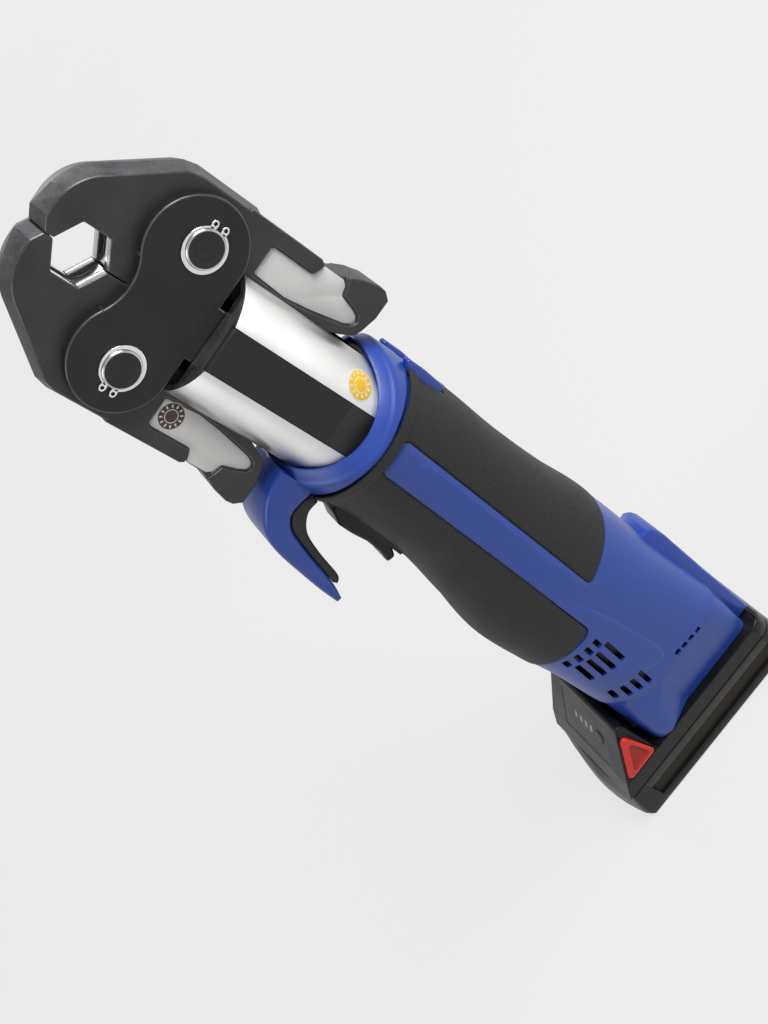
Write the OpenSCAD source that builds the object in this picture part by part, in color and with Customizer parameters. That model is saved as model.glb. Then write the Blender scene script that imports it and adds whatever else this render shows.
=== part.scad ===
// In-line battery press tool with a two-piece press jaw for 22 mm tube.
// Frame: +Z runs up the tool to the jaw, the origin lies on the battery base under the barrel axis,
// -X is the trigger side, +X the palm side and -Y the near side. Lengths are in millimetres.

/* [Jaws] */
// Height of the jaw pins above the battery base
pin_z = 434; // [428:1:446]
// Distance between the two jaw pins
pin_spacing = 57.8; // [56:0.2:60]
// Thickness of a jaw half
jaw_t = 21.2; // [20:0.2:22]
// Half width of the closed jaw at the pins, on its flat face
jaw_half_w = 51.2; // [50:0.2:54]
// How far the forged ridge stands out of the face outline
jaw_draft = 2.4; // [1:0.2:4]
// Height of the nose above the pins, on the flat face
nose_z = 58.6; // [57:0.2:62]
// Height of the press bore above the pins
bore_z = 38.3; // [37:0.1:39]
// Press bore across its flats
bore_flats = 22.8; // [20:0.2:24]
// Radius of the ring groove inside the press bore
groove_r = 14.2; // [13.6:0.1:15]
// Width of the ring groove
groove_w = 9; // [6:0.5:12]
// Length of a jaw tail below the pins
tail_len = 90; // [88:0.5:92]
// Thickness of the tail web under its label
web_t = 17.5; // [10:0.5:19]
// Opening of each jaw, in degrees, when the rollers are drawn back
open_angle = 10; // [6:0.5:10]

/* [Link plates and pins] */
// Thickness of a link plate
link_t = 5.4; // [4:0.1:6]
// Radius of the link plate lobes
lobe_r = 23; // [21:0.2:24]
// Distance from the pins down to the retaining bolt
bolt_drop = 42; // [38:0.5:42]
// Width of the link plate tongue
tongue_w = 25; // [20:0.5:26]
// Radius of the jaw pins
pin_r = 8.5; // [7:0.1:9]
// Thickness of the circlips
clip_t = 1.2; // [0.8:0.1:1.5]
// Radius of the retaining bolt
bolt_r = 7; // [6:0.1:7.5]

/* [Fork head] */
// Radius of the fork head
head_r = 30.9; // [30:0.1:31.5]
// Distance from the pins down to the front of the fork
head_drop = 22.6; // [22.2:0.1:24]
// Length of the fork head
head_len = 100; // [97:0.5:101]
// Depth of the slot between the cheeks
slot_depth = 77; // [74:0.5:80]
// Width of the black cover strip
strip_w = 21.2; // [16:0.2:24]
// Thickness of the cover strip
strip_t = 2.6; // [1.5:0.1:4]

/* [Drive] */
// Radius of a press roller
roller_r = 12.5; // [11:0.1:12.5]
// Width of a press roller
roller_w = 19; // [14:0.5:20]
// Distance from the pins down to the rollers, fully advanced
roller_drop = 66; // [65:0.5:68]
// Travel of the roller carriage
stroke = 42; // [30:0.5:42]
// Radius of the press spindle
spindle_r = 8; // [6:0.2:9]
// Radius of the gearbox
gear_r = 25; // [22:0.2:26]
// Length of the gearbox
gear_len = 74; // [70:0.5:78]
// Radius of the motor
motor_r = 23; // [20:0.2:25]
// Length of the motor
motor_len = 60; // [50:0.5:64]

/* [Housing] */
// Height of the handle's front edge, behind the collar
body_top = 317.4; // [316:0.2:318]
// Height of the foot's rim above the battery base
foot_z = 38.6; // [36:0.2:42]
// Reach of the handle towards the palm
palm_reach = 37; // [36:0.2:39]
// How far the rear handle swells beyond its waist, towards the trigger side
heel_swell = 20.4; // [18.4:0.2:21.4]
// Half depth of the handle at the foot
half_depth = 37.5; // [36:0.2:39]
// Radius of the collar
collar_r = 37.4; // [36:0.2:39]
// Height of the collar's front edge at the palm side
collar_top = 337.6; // [332:0.2:338]
// How much lower the collar's front edge lies at the near and far side
collar_dip = 12; // [6:0.5:14]
// Thickness of the rubber grip
pad_t = 2.6; // [1.5:0.1:3.2]
// How far the rubber stands out of the blue shell
pad_rise = 0.8; // [0:0.1:1.5]
// Height of the front end of the blue strip between the pads
strip_top = 310.6; // [306:0.2:312]
// Half width of the blue strip between the pads
strip_half = 8.9; // [7:0.1:11]
// Height of the rear end of the palm pad
palm_pad_end = 160; // [156:1:168]
// Height of the rear end of the finger pad
finger_pad_end = 140; // [134:1:146]
// Reach of the finger guard from the barrel axis
guard_reach = 75; // [72:0.5:78]
// Length of the finger guard
guard_len = 76; // [70:0.5:80]
// Width of the finger guard
guard_w = 25; // [20:0.5:28]

/* [Controls] */
// Length of the trigger
trigger_len = 48; // [40:0.5:50]
// Width of the trigger
trigger_w = 15; // [12:0.5:18]
// Length of the reset button
reset_len = 20; // [14:0.5:22]
// Width of the reset button
reset_w = 15; // [10:0.5:18]

/* [Battery] */
// Width of the battery
battery_w = 76.4; // [72:0.2:78]
// Reach of the battery towards the palm side
battery_back = 35; // [32:0.5:38]
// Length of the battery's gauge end beyond the handle's heel
gauge_len = 45; // [42:0.5:48]
// Height of the gauge end above the base
gauge_z = 70; // [66:0.5:72]
// Height of the split between battery case and lid
battery_split = 27; // [25:0.5:29]
// Radius of a battery cell
cell_r = 9.1; // [8.5:0.1:9.3]

/* [Hidden] */
$fn = 64;

// Clearances and overruns
slide_gap = 0.3;
fit_gap = 0.06;
seat_gap = 0.1;
over = 2;
parting_gap = 0.4;
cam_gap = 0.4;
link_gap = 0.35;

// Jaw outline, in shares of the jaw's half width and nose height
pin_x = pin_spacing / 2;
shoulder_share = 0.45;
nose_chamfer_shares = [0.107, 0.056];
nose_draft_share = 1.7;
corner_shares = [[0.969, 0.36], [1, 0.25]];
shoulder_from = 88;
shoulder_to = 32;
arc_steps = 10;
slab = 0.2;
head_low = 18;

// Tail outline and label pocket, in shares of the jaw's half width and the tail's length
tail_shares = [[1.02, 0.12], [1.02, 0.565], [0.988, 0.6], [0.996, 0.625], [1, 0.71],
    [1.082, 0.82], [1.119, 0.91], [1.113, 0.955], [1.059, 1], [0.879, 1], [0.72, 0.975]];
pocket_shares = [[0.886, 0.575], [0.886, 0.33], [0.86, 0.31], [0.6, 0.31], [0.578, 0.52],
    [0.61, 0.665], [0.676, 0.868], [0.71, 0.91], [0.76, 0.928], [0.81, 0.91], [0.846, 0.86],
    [0.88, 0.78], [0.96, 0.765], [1.06, 0.735], [1.06, 0.6]];
tail_in_x = 17.4;
tail_in_from = 25;
tail_overlap = 12;
relief_share = 1.12;
relief_slope = tan(open_angle * relief_share);

// Link plates and pins
link_in = jaw_t / 2 + link_gap;
link_out = link_in + link_t;
lobe_x_share = 0.9;
lobe_x = pin_x * lobe_x_share;
lobe_z_share = 0.08;
lobe_z = lobe_r * lobe_z_share;
waist_share = 0.74;
waist_z = lobe_r * waist_share;
waist_r = (pow(lobe_x, 2) + pow(waist_z - lobe_z, 2)
    - pow(lobe_r, 2)) / (2 * (lobe_r + lobe_z - waist_z));
link_drop = lobe_r - lobe_z;
pin_tip = 2.3;
pin_chamfer = 0.7;
clip_groove = 0.7;
clip_band = 2.7;
clip_ear_r = 2.3;
clip_hole_r = 1;
clip_ear_z = 2.7;
clip_slot = 2.2;
clip_ear_x_share = 0.97;

// Jaw spring on its post
spring_drop = 29;
spring_r = 4.2;
spring_wire_r = 0.9;
spring_nip = 0.1;
spring_pitch = 2 * spring_wire_r - spring_nip;
spring_half = jaw_t / 2 - spring_wire_r - slide_gap;

// Fork head
slot_half = link_out + slide_gap + seat_gap;
head_front = pin_z - head_drop;
head_back = head_front - head_len;
head_wall = 3.2;
head_bore_r = head_r - head_wall;
strip_y = sqrt(pow(head_r, 2) - pow(strip_w / 2, 2));
strip_set = 2.2;
strip_low = 9;
strip_seat = 0.1;
ring_drop = 96.2;
ring_h = 2.4;
ring_out = 0.9;
ring_groove = 1.4;
bolt_near_share = 0.74;
bolt_near_y = head_r * bolt_near_share;
bolt_z = pin_z - bolt_drop;
knob_r = 12.5;
knob_h = 9;
knob_gap = 0.5;
knob_grip_n = 8;
knob_flat = 3;
knob_flat_y = head_r - knob_flat;
knob_room = 1.2;
knob_seat_r = knob_r + knob_room;

// Roller carriage
roller_x = roller_r + slide_gap / 2;
roller_z = pin_z - roller_drop;
roller_pin_r = 4;
carriage_gap = 0.7;
carriage_rim = 1.6;
carriage_in = jaw_t / 2 + carriage_gap;
carriage_out = slot_half - 2 * slide_gap;
carriage_half = roller_x + roller_pin_r + carriage_rim;
carriage_up = 8;
carriage_down = 16;
carriage_base = 9;
spindle_top = roller_z - carriage_down - carriage_base;
spindle_len = 58;
nut_gap = 1.2;
nut_top = spindle_top - stroke - nut_gap;
nut_r = 14;
nut_h = 20;
bearing_h = 5;
bearing_r = 19;
bearing_room = 3;
bearing_bore = spindle_r + bearing_room;
gear_rim = 0.8;
gear_top = nut_top + gear_rim;
gear_low = gear_top - gear_len;
spindle_room = 1;
spindle_room_r = spindle_r + spindle_room;
motor_gap = 0.6;
motor_top = gear_low - motor_gap;
motor_low = motor_top - motor_len;
shaft_r = 3;
shaft_bore_gap = 0.05;
fan_r = 20;
fan_h = 9;
fan_blades = 9;
fan_blade_t = 1.6;
fan_plate_t = 2;
fan_gap = 2;
hub_share = 1.5;
fan_top = motor_low - fan_gap;

// Handle: each row holds the height as a share of the handle's length, the swell to the trigger side
// beyond the waist, the reaches to the palm and the near side, all as shares of the sizes above,
// and the squareness of the section
body_shares = [
    [1, 0.067, 1, 0.965, 2], [0.97, 0.006, 1, 0.935, 2.1], [0.88, 0, 1, 0.895, 2.25],
    [0.737, 0.19, 0.93, 0.88, 2.35], [0.593, 0.616, 0.914, 0.905, 2.4],
    [0.493, 0.959, 0.95, 0.96, 2.4], [0.378, 1, 0.927, 0.985, 2.6],
    [0.285, 0.945, 0.892, 0.987, 2.9], [0.163, 0.973, 0.892, 0.995, 3.3],
    [0.109, 0.959, 0.892, 1.005, 3.7], [0, 0.904, 0.86, 1.01, 4.2]];
body_len = body_top - foot_z;
waist_reach = 35.6;
heel_reach = waist_reach + heel_swell;
front_reach = waist_reach + heel_swell * body_shares[0][1];
pad_edge = 1.6;
palm_slant = 8;
strip_mid_shares = [0.035, -0.31];
strip_mid_top = palm_reach * strip_mid_shares[0];
strip_mid_low = waist_reach * strip_mid_shares[1];
pad_cols = 6;
strip_cols = 4;
groove_deg = 2.6;
half_turn = 180;
edge_share = 0.9;
rows_palm = 11;
rows_finger = 2;
rows_foot = 7;
groove_gap = 0.6;
neck_r = 32.9;
neck_h = 0.9;
barrel_gap = 0.3;
collar_front_r = 33.4;
collar_round = 4;
ring_room = 0.5;
head_play = 1;

// Finger guard, in shares of its reach and of its length below the collar's front edge
guard_set = 0.6;
guard_top = collar_top - guard_set;
guard_out_shares = [[0.43, 0], [0.66, 0.055], [0.8, 0.15], [0.885, 0.3], [0.935, 0.54],
    [0.975, 0.77], [0.992, 0.925]];
guard_in_shares = [[0.955, 0.935], [0.893, 0.8], [0.8, 0.5], [0.73, 0.31], [0.66, 0.23],
    [0.58, 0.215], [0.44, 0.25]];
lining_shares = [[0.885, 0.835], [0.835, 0.8], [0.773, 0.6], [0.71, 0.434], [0.65, 0.355],
    [0.57, 0.31], [0.49, 0.32]];
lining_gap = 0.15;
spline_steps = 4;

// Trigger, reset button and switch
trigger_top = 300;
trigger_inset = 4.6;
trigger_pivot_x = trigger_inset - waist_reach;
trigger_t = 6;
trigger_pin_r = 2;
trigger_reach = 18.5;
trigger_gap = 0.5;
trigger_sink = 3;
trigger_pin_share = 0.61;
switch_size = [10, 16, 24];
switch_out = 1;
switch_x = -waist_reach - switch_out;
switch_top = 240;
reset_z = 297;
reset_depth = 6;
reset_rise = 1.2;
reset_gap = 0.3;
rib_gap = 1.4;
rib_w = 5;
rib_len = 24;
rib_rise = 2.2;

// Room for the board, the fan and the terminals
board_size = [44, 2, 60];
board_low = 64;
board_y = 8;
room_half_y = 29;
room_low_x = -42;
room_high_x = 17;
room_low_z = 56;
room_high_z = 126;
duct_half_y = 20;
duct_x = [-28, 12];
terminal_size = [18, 30, 10];
terminal_back = 6;

// Vents on both sides
vent_rows = 4;
vent_x = -24;
vent_pitch = 6.4;
vent_w = 3;
vent_top = 134;
vent_stagger = 0.8;
vent_lengths = [5, 19, 14];
vent_starts = [1, 7.5, 43.5];
hole_w = 3.2;
hole_n = 4;
hole_pitch = 5.6;
hole_x = -7;
hole_z = 73.5;

// Heel block on the palm side
heel_top = 127;
heel_half = 11;
heel_out_shares = [0.9, 1.05, 0.97];

// Housing screws, set in from the far side
screw_r = 2.2;
screw_head_r = 4;
screw_head_h = 3;
screw_len = 24;
screw_places_shares = [[-0.86, 0.25], [-0.86, 0.07], [0.65, 0.075], [0.65, 0.27]];

// Battery
battery_corner = 9;
battery_chamfer = 3;
lid_gap = 0.6;
lid_z = foot_z - lid_gap;
heel_clear = 1.6;
gauge_back = heel_reach + heel_clear;
battery_front = heel_reach + gauge_len;
gauge_run = battery_front - gauge_back;
gauge_lip_z = 12;
gauge_mid_share = 0.628;
gauge_mid = gauge_back + gauge_run * gauge_mid_share;
gauge_taper = 6.5;
gauge_bulge_r = 110;
gauge_top_w = 5;
cell_len = 65;
cell_count = 5;
cell_gap = 0.3;
cell_floor = 3.6;
cell_mid = (battery_back - battery_front) / 2;
rail_half = 21;
rail_lip = 2.4;
rail_h = 10;
rail_back = 24;
rail_gap = 0.4;
groove_band = [5, 8];
groove_depth = 1.2;
groove_shares = [0.76, 0.7];
latch_deep = 8;
latch_travel = 2.5;
latch_out = 0.4;
latch_gap = 0.35;
latch_shares = [[0.12, 0.95], [0.006, 0.555], [0.586, 0.548]];
latch_round = 2.5;
panel_w = 44;
panel_t = 1.6;
panel_from_share = 0.06;
panel_to_share = 0.86;
button_r = 4;
button_gap = 0.25;
button_rise = 0.3;
button_y = -14;
button_share = 0.52;
terminal_n = 3;
terminal_pitch = 9;
terminal_blade = [16, 1, 8];

// Helper functions
function arc(c, r, from, to, n) =
    [for (i = [0:n]) c + r * [cos(from + (to - from) * i / n), sin(from + (to - from) * i / n)]];
function share_points(shares, w, h) = [for (s = shares) [s[0] * w, s[1] * h]];
function curve(a, b, c, d, t) =
    b + (c - a) * t / 2 + (2 * a - 5 * b + 4 * c - d) * t * t / 2
        + (3 * b - a - 3 * c + d) * t * t * t / 2;
function spline(p, n) = concat(
    [for (i = [0:len(p) - 2], k = [0:n - 1])
        curve(p[max(i - 1, 0)], p[i], p[i + 1], p[min(i + 2, len(p) - 1)], k / n)],
    [p[len(p) - 1]]);
function between(a, b, n) = [for (i = [1:n]) a + (b - a) * i / n];

// Slab between two Y levels, drawn from an outline in X and Z
module slab_y(from, to) {
    translate([0, to, 0]) rotate([90, 0, 0]) linear_extrude(to - from) children();
}
module rod_y(r, from, to) {
    translate([0, to, 0]) rotate([90, 0, 0]) cylinder(r = r, h = to - from);
}
module at_pins() {
    translate([0, 0, pin_z]) children();
}

// Jaw face outline of the +X half, grown by d towards the ridge
function jaw_outline(d) = let (
        r = jaw_half_w * shoulder_share,
        top = nose_z + d * nose_draft_share,
        c = [jaw_half_w / 2 - r / 2 - nose_z * nose_chamfer_shares[1], nose_z - r]) concat(
    [[0, -head_low], [0, top - nose_z * nose_chamfer_shares[1]],
        [jaw_half_w * nose_chamfer_shares[0], top]],
    arc(c, r + d, shoulder_from, shoulder_to, arc_steps),
    [for (s = corner_shares) [jaw_half_w * s[0] + d, nose_z * s[1]]],
    [[jaw_half_w + d, -head_low]]);

// Rollers seen from the jaw as it swings open, and the cam edge that stays clear of them
function swing(d) = open_angle * d / stroke;
function roller_in_jaw(d) = let (a = swing(d), x = roller_x - pin_x, s = roller_drop + d)
    [pin_x + x * cos(a) + s * sin(a), s * cos(a) - x * sin(a)];
cam_steps = 28;
function cam_x(s) = max([for (k = [0:cam_steps]) let (c = roller_in_jaw(stroke * k / cam_steps),
    u = s - c[1],
    r = roller_r + cam_gap) abs(u) < r ? c[0] + sqrt(r * r - u * u) : tail_in_x]);
cam_from = roller_drop - roller_r;
cam_to_share = 0.955;
cam_points = 14;
cam_run = tail_len * cam_to_share - cam_from;
function cam_edge() = [for (i = [0:cam_points]) let (s = cam_from + cam_run * i / cam_points)
    [max(tail_in_x, cam_x(s)), -s]];

module jaw_body() {
    hull() {
        slab_y(-jaw_t / 2, slab - jaw_t / 2) polygon(jaw_outline(0));
        slab_y(-slab / 2, slab / 2) polygon(jaw_outline(jaw_draft));
        slab_y(jaw_t / 2 - slab, jaw_t / 2) polygon(jaw_outline(0));
    }
}
module jaw_tail() {
    outer = [for (p = share_points(tail_shares, jaw_half_w, tail_len)) [p[0], -p[1]]];
    inner = concat([[tail_in_x, -tail_overlap], [tail_in_x, -tail_in_from]], cam_edge());
    slab_y(-jaw_t / 2, jaw_t / 2)
        polygon(concat(outer, [for (i = [len(inner) - 1:-1:0]) inner[i]]));
}
module tail_pocket() {
    polygon([for (p = share_points(pocket_shares, jaw_half_w, tail_len)) [p[0], -p[1]]]);
}
module press_bore() {
    translate([0, 0, bore_z]) {
        rotate([90, 0, 0]) rotate(30)
            cylinder(r = bore_flats / 2 / cos(30), h = jaw_t + 2 * over, center = true, $fn = 6);
        rod_y(groove_r, -groove_w / 2, groove_w / 2);
    }
}
module jaw_half() {
    at_pins() difference() {
        union() {
            jaw_body();
            jaw_tail();
        }
        slab_y(-jaw_t, jaw_t) polygon([[-over, nose_z * 2], [parting_gap / 2, nose_z * 2],
            [parting_gap / 2, 0],
            [parting_gap / 2 + tail_in_from * relief_slope, -tail_in_from], [-over, -tail_in_from]]);
        slab_y(-jaw_t, jaw_t)
            polygon([[0, -head_low + over], [tail_in_x, -head_low - over], [tail_in_x, -tail_len],
                [0, -tail_len]]);
        for (side = [-1, 1])
            slab_y(side < 0 ? -jaw_t : web_t / 2, side < 0 ? -web_t / 2 : jaw_t) tail_pocket();
        press_bore();
        translate([pin_x, 0, 0]) rod_y(pin_r + fit_gap, -jaw_t, jaw_t);
    }
}
module jaw_upper() {
    color("dimgray") jaw_half();
}
module jaw_lower() {
    color("dimgray") mirror([1, 0, 0]) jaw_half();
}

// Link plates: two lobes drawn together by tangent arcs, with a tongue for the retaining bolt
module link_outline() {
    difference() {
        union() {
            for (side = [-1, 1]) translate([side * lobe_x, lobe_z]) circle(lobe_r);
            translate([-lobe_x, -link_drop]) square([2 * lobe_x, link_drop + waist_z + lobe_z * 2]);
            translate([-tongue_w / 2, -bolt_drop]) square([tongue_w, bolt_drop]);
            translate([0, -bolt_drop]) circle(tongue_w / 2);
        }
        translate([0, waist_z + waist_r]) circle(waist_r, $fn = 128);
        for (side = [-1, 1]) translate([side * pin_x, 0]) circle(pin_r + fit_gap / 3);
        translate([0, -bolt_drop]) circle(bolt_r + slide_gap);
    }
}
module link_plate_near() {
    color("#33332f") at_pins() slab_y(-link_out, -link_in) link_outline();
}
module link_plate_far() {
    color("#33332f") at_pins() slab_y(link_in, link_out) link_outline();
}
module jaw_pin(side) {
    half = link_out + pin_tip;
    groove_in = link_out + seat_gap / 2;
    profile = [[0, -half], [pin_r - pin_chamfer, -half], [pin_r, pin_chamfer - half],
        [pin_r, -groove_in - clip_t - seat_gap], [pin_r - clip_groove, -groove_in - clip_t - seat_gap],
        [pin_r - clip_groove, -groove_in], [pin_r, -groove_in], [pin_r, groove_in],
        [pin_r - clip_groove, groove_in], [pin_r - clip_groove, groove_in + clip_t + seat_gap],
        [pin_r, groove_in + clip_t + seat_gap], [pin_r, half - pin_chamfer], [pin_r - pin_chamfer, half],
            [0, half]];
    color("#4a4a48") at_pins() translate([side * pin_x, 0, 0]) rotate([90, 0, 0]) rotate_extrude()
        polygon(profile);
}
module jaw_pin_upper() {
    jaw_pin(1);
}
module jaw_pin_lower() {
    jaw_pin(-1);
}
// One circlip lies in the pin's groove, with its two eared ends turned outwards
module clip_outline() {
    in_r = pin_r - clip_groove + fit_gap;
    ear_x = (in_r + clip_band) * clip_ear_x_share;
    difference() {
        union() {
            circle(in_r + clip_band);
            for (s = [-1, 1]) translate([ear_x, s * clip_ear_z]) circle(clip_ear_r);
        }
        circle(in_r);
        translate([in_r / 2, -clip_slot / 2]) square([2 * pin_r, clip_slot]);
        for (s = [-1, 1]) translate([ear_x, s * clip_ear_z]) circle(clip_hole_r);
    }
}
module circlips() {
    low = link_out + seat_gap;
    color("silver") at_pins() for (side = [0, 1], face = [0, 1])
        mirror([side, 0, 0]) mirror([0, face, 0]) translate([pin_x, 0, 0])
            slab_y(-low - clip_t, -low) clip_outline();
}

// Jaw spring: a close-wound coil on a post between the link plates, drawn as touching rings
module jaw_spring() {
    n = floor(2 * spring_half / spring_pitch);
    color("silver") translate([0, 0, pin_z - spring_drop]) rotate([90, 0, 0]) for (i = [0:n])
        translate([0, 0, (i - n / 2) * spring_pitch]) rotate_extrude() translate([spring_r, 0])
            circle(spring_wire_r, $fn = 24);
}
module spring_post() {
    color("gray") translate([0, 0, pin_z - spring_drop])
        rod_y(spring_r - spring_wire_r, -link_in, link_in);
}

// Fork head: two cheeks of a round bar, a slot for the jaw and a bored sleeve in the collar
module fork_head() {
    color("gainsboro") difference() {
        translate([0, 0, head_back]) cylinder(r = head_r, h = head_len, $fn = 128);
        translate([-head_r - over, -slot_half, head_front - slot_depth])
            cube([2 * (head_r + over), 2 * slot_half, slot_depth + over]);
        translate([0, 0, head_back - over])
            cylinder(r = head_bore_r, h = head_len - slot_depth + 2 * over);
        translate([-strip_w / 2, -head_r - over, head_back + strip_low])
            cube([strip_w, head_r + over - strip_y + strip_t, head_len - strip_set - strip_low]);
        translate([0, 0, pin_z - head_drop - ring_drop - ring_h - seat_gap]) difference() {
            cylinder(r = head_r + over, h = ring_h + 2 * seat_gap);
            translate([0, 0, -over]) cylinder(r = head_r - ring_groove, h = ring_h + 2 * over);
        }
        translate([0, 0, bolt_z]) {
            rod_y(bolt_r + fit_gap, -bolt_near_y - seat_gap, head_r + over);
            rod_y(knob_seat_r, knob_flat_y, head_r + over);
        }
    }
}
module cover_strip() {
    color("#2b2b2a") translate([-strip_w / 2 + strip_seat, -strip_y, head_back + strip_low + strip_seat])
        cube([strip_w - 2 * strip_seat, strip_t, head_len - strip_set - strip_low - 2 * strip_seat]);
}
// Split ring that holds the head in the collar
module head_ring() {
    z = pin_z - head_drop - ring_drop - ring_h;
    color("gray") translate([0, 0, z]) difference() {
        cylinder(r = head_r + ring_out, h = ring_h);
        translate([0, 0, -over]) cylinder(r = head_r - ring_groove + fit_gap, h = ring_h + 2 * over);
        translate([0, -strip_t / 2, -over]) cube([head_r * 2, strip_t, ring_h + 2 * over]);
    }
}
module retaining_bolt() {
    color("silver") translate([0, 0, bolt_z]) {
        rod_y(bolt_r, pin_chamfer - bolt_near_y, knob_flat_y + knob_gap);
        translate([0, pin_chamfer - bolt_near_y, 0]) rotate([90, 0, 0])
            cylinder(r1 = bolt_r, r2 = bolt_r - pin_chamfer, h = pin_chamfer);
    }
}
module bolt_knob() {
    color("#2b2b2a") translate([0, 0, bolt_z]) difference() {
        rod_y(knob_r, knob_flat_y + knob_gap, knob_flat_y + knob_gap + knob_h);
        for (i = [0:knob_grip_n - 1]) rotate([0, 360 * i / knob_grip_n, 0])
            translate([knob_r + knob_gap, 0, 0])
            rod_y(knob_h / 4, knob_flat_y + knob_h / 2, knob_flat_y + knob_h * 2);
    }
}

// Roller carriage: two side plates and a base that the spindle pushes
module roller_carriage() {
    color("gray") difference() {
        union() {
            for (side = [0, 1]) mirror([0, side, 0])
                translate([-carriage_half, carriage_in, roller_z - carriage_down - carriage_base])
                    cube([2 * carriage_half, carriage_out - carriage_in,
                        carriage_up + carriage_down + carriage_base]);
            translate([-carriage_half, -carriage_out, roller_z - carriage_down - carriage_base])
                cube([2 * carriage_half, 2 * carriage_out, carriage_base]);
        }
        for (side = [-1, 1]) translate([side * roller_x, 0, roller_z])
            rod_y(roller_pin_r + fit_gap / 3, -head_r, head_r);
    }
}
module roller(side) {
    color("silver") translate([side * roller_x, 0, roller_z]) difference() {
        rod_y(roller_r, -roller_w / 2, roller_w / 2);
        rod_y(roller_pin_r + fit_gap, -roller_w, roller_w);
    }
}
module roller_upper() {
    roller(1);
}
module roller_lower() {
    roller(-1);
}
module roller_pins() {
    color("dimgray") for (side = [-1, 1]) translate([side * roller_x, 0, roller_z])
        rod_y(roller_pin_r, -carriage_out, carriage_out);
}
module spindle() {
    color("silver") translate([0, 0, spindle_top - spindle_len]) cylinder(r = spindle_r, h = spindle_len);
}
module spindle_nut() {
    color("goldenrod") translate([0, 0, nut_top - nut_h]) difference() {
        cylinder(r = nut_r, h = nut_h);
        translate([0, 0, -over]) cylinder(r = spindle_r + fit_gap, h = nut_h + 2 * over);
    }
}
module thrust_bearing() {
    color("gainsboro") translate([0, 0, nut_top - nut_h - bearing_h - seat_gap]) difference() {
        cylinder(r = bearing_r, h = bearing_h);
        translate([0, 0, -over]) cylinder(r = bearing_bore, h = bearing_h + 2 * over);
    }
}
module gearbox_casing() {
    color("darkgray") difference() {
        translate([0, 0, gear_low]) cylinder(r = gear_r, h = gear_len);
        translate([0, 0, gear_low + gear_len / 6]) cylinder(r = spindle_room_r, h = gear_len);
        translate([0, 0, nut_top - nut_h - seat_gap]) cylinder(r = nut_r + slide_gap, h = gear_len);
        translate([0, 0, nut_top - nut_h - bearing_h - 2 * seat_gap])
            cylinder(r = bearing_r + seat_gap, h = bearing_h + seat_gap * 2);
    }
}
module motor_can() {
    color("dimgray") difference() {
        translate([0, 0, motor_low]) cylinder(r = motor_r, h = motor_len);
        translate([0, 0, motor_low - over])
            cylinder(r = shaft_r + shaft_bore_gap, h = motor_len / 2 + over);
    }
}
module motor_shaft() {
    color("silver") translate([0, 0, fan_top - fan_h])
        cylinder(r = shaft_r, h = motor_len / 2 + fan_h + fan_gap - seat_gap * 2);
}
module cooling_fan() {
    color("#2b2b2a") translate([0, 0, fan_top - fan_h]) difference() {
        union() {
            cylinder(r = fan_r, h = fan_plate_t);
            cylinder(r = shaft_r * 2, h = fan_h);
            for (i = [0:fan_blades - 1]) rotate(360 * i / fan_blades)
                translate([shaft_r * hub_share, -fan_blade_t / 2, 0])
                    cube([fan_r - shaft_r * 2, fan_blade_t, fan_h]);
        }
        translate([0, 0, -over]) cylinder(r = shaft_r + fit_gap / 3, h = fan_h + 2 * over);
    }
}

// Handle skin: rounded sections lofted along the handle, with columns that follow the blue strip
body_rows = concat([body_top], [strip_top + pad_edge, strip_top],
    between(strip_top, palm_pad_end, rows_palm),
    [palm_pad_end - pad_edge], between(palm_pad_end - pad_edge, finger_pad_end, rows_finger),
        [finger_pad_end - pad_edge],
    between(finger_pad_end - pad_edge, foot_z, rows_foot));
row_front = 1;
row_palm = row_front + 1 + rows_palm;
row_finger = row_palm + 1 + rows_finger;
last_row = len(body_rows) - 1;
last_col = 2 * pad_cols + strip_cols + 2;
function body_row(z) = let (t = max(z - foot_z, 0) / body_len,
        i = max([for (k = [0:len(body_shares) - 2]) body_shares[k][0] >= t ? k : 0]),
        a = body_shares[max(i - 1, 0)], b = body_shares[i], c = body_shares[i + 1],
        d = body_shares[min(i + 2, len(body_shares) - 1)], u = (b[0] - t) / (b[0] - c[0]))
    curve(a, b, c, d, u);
function strip_mid(z) = strip_mid_low
    + (strip_mid_top - strip_mid_low) * (z - finger_pad_end) / (strip_top - finger_pad_end);
function column_angle(j, up, low) =
    j <= pad_cols ? up * j / pad_cols :
    j > pad_cols + strip_cols + 1 ? low + (half_turn - low) * (j - pad_cols - strip_cols - 2) / pad_cols :
    up + groove_deg + (low - up - 2 * groove_deg) * (j - pad_cols - 1) / strip_cols;
function edge_angle(x, mid, half, n) = let (u = min(max((x - mid) / half, -edge_share), edge_share))
    acos(sign(u) * pow(abs(u), n / 2));
function skin_point(z, j, off) = let (s = body_row(z), low = waist_reach + s[1] * heel_swell + off,
    high = s[2] * palm_reach + off,
        mid = (high - low) / 2, half = (high + low) / 2, depth = s[3] * half_depth + off, n = s[4],
        flat_mid = (high - low) / 2, flat_half = (high + low) / 2 - off,
        up = edge_angle(strip_mid(z) + strip_half, flat_mid, flat_half, n),
        down = edge_angle(strip_mid(z) - strip_half, flat_mid, flat_half, n),
            a = column_angle(j, up, down),
        c = cos(a), d = j == 0 || j == last_col ? 0 : sin(a))
    [mid + half * sign(c) * pow(abs(c), 2 / n), -depth * pow(d, 2 / n), z];
function in_strip(j) = j > pad_cols && j < pad_cols + strip_cols + 2;
function is_pad(i, j) = i <= row_front ? true : in_strip(j) ? false : j <= pad_cols ? i <= row_palm
    : i <= row_finger;
function index(i, j) = i * (last_col + 1) + j;
function row_z(i, j) = body_rows[i]
    + (i == row_palm || i == row_palm + 1 ? palm_slant * (1 - min(j, pad_cols) / pad_cols) : 0);
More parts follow.
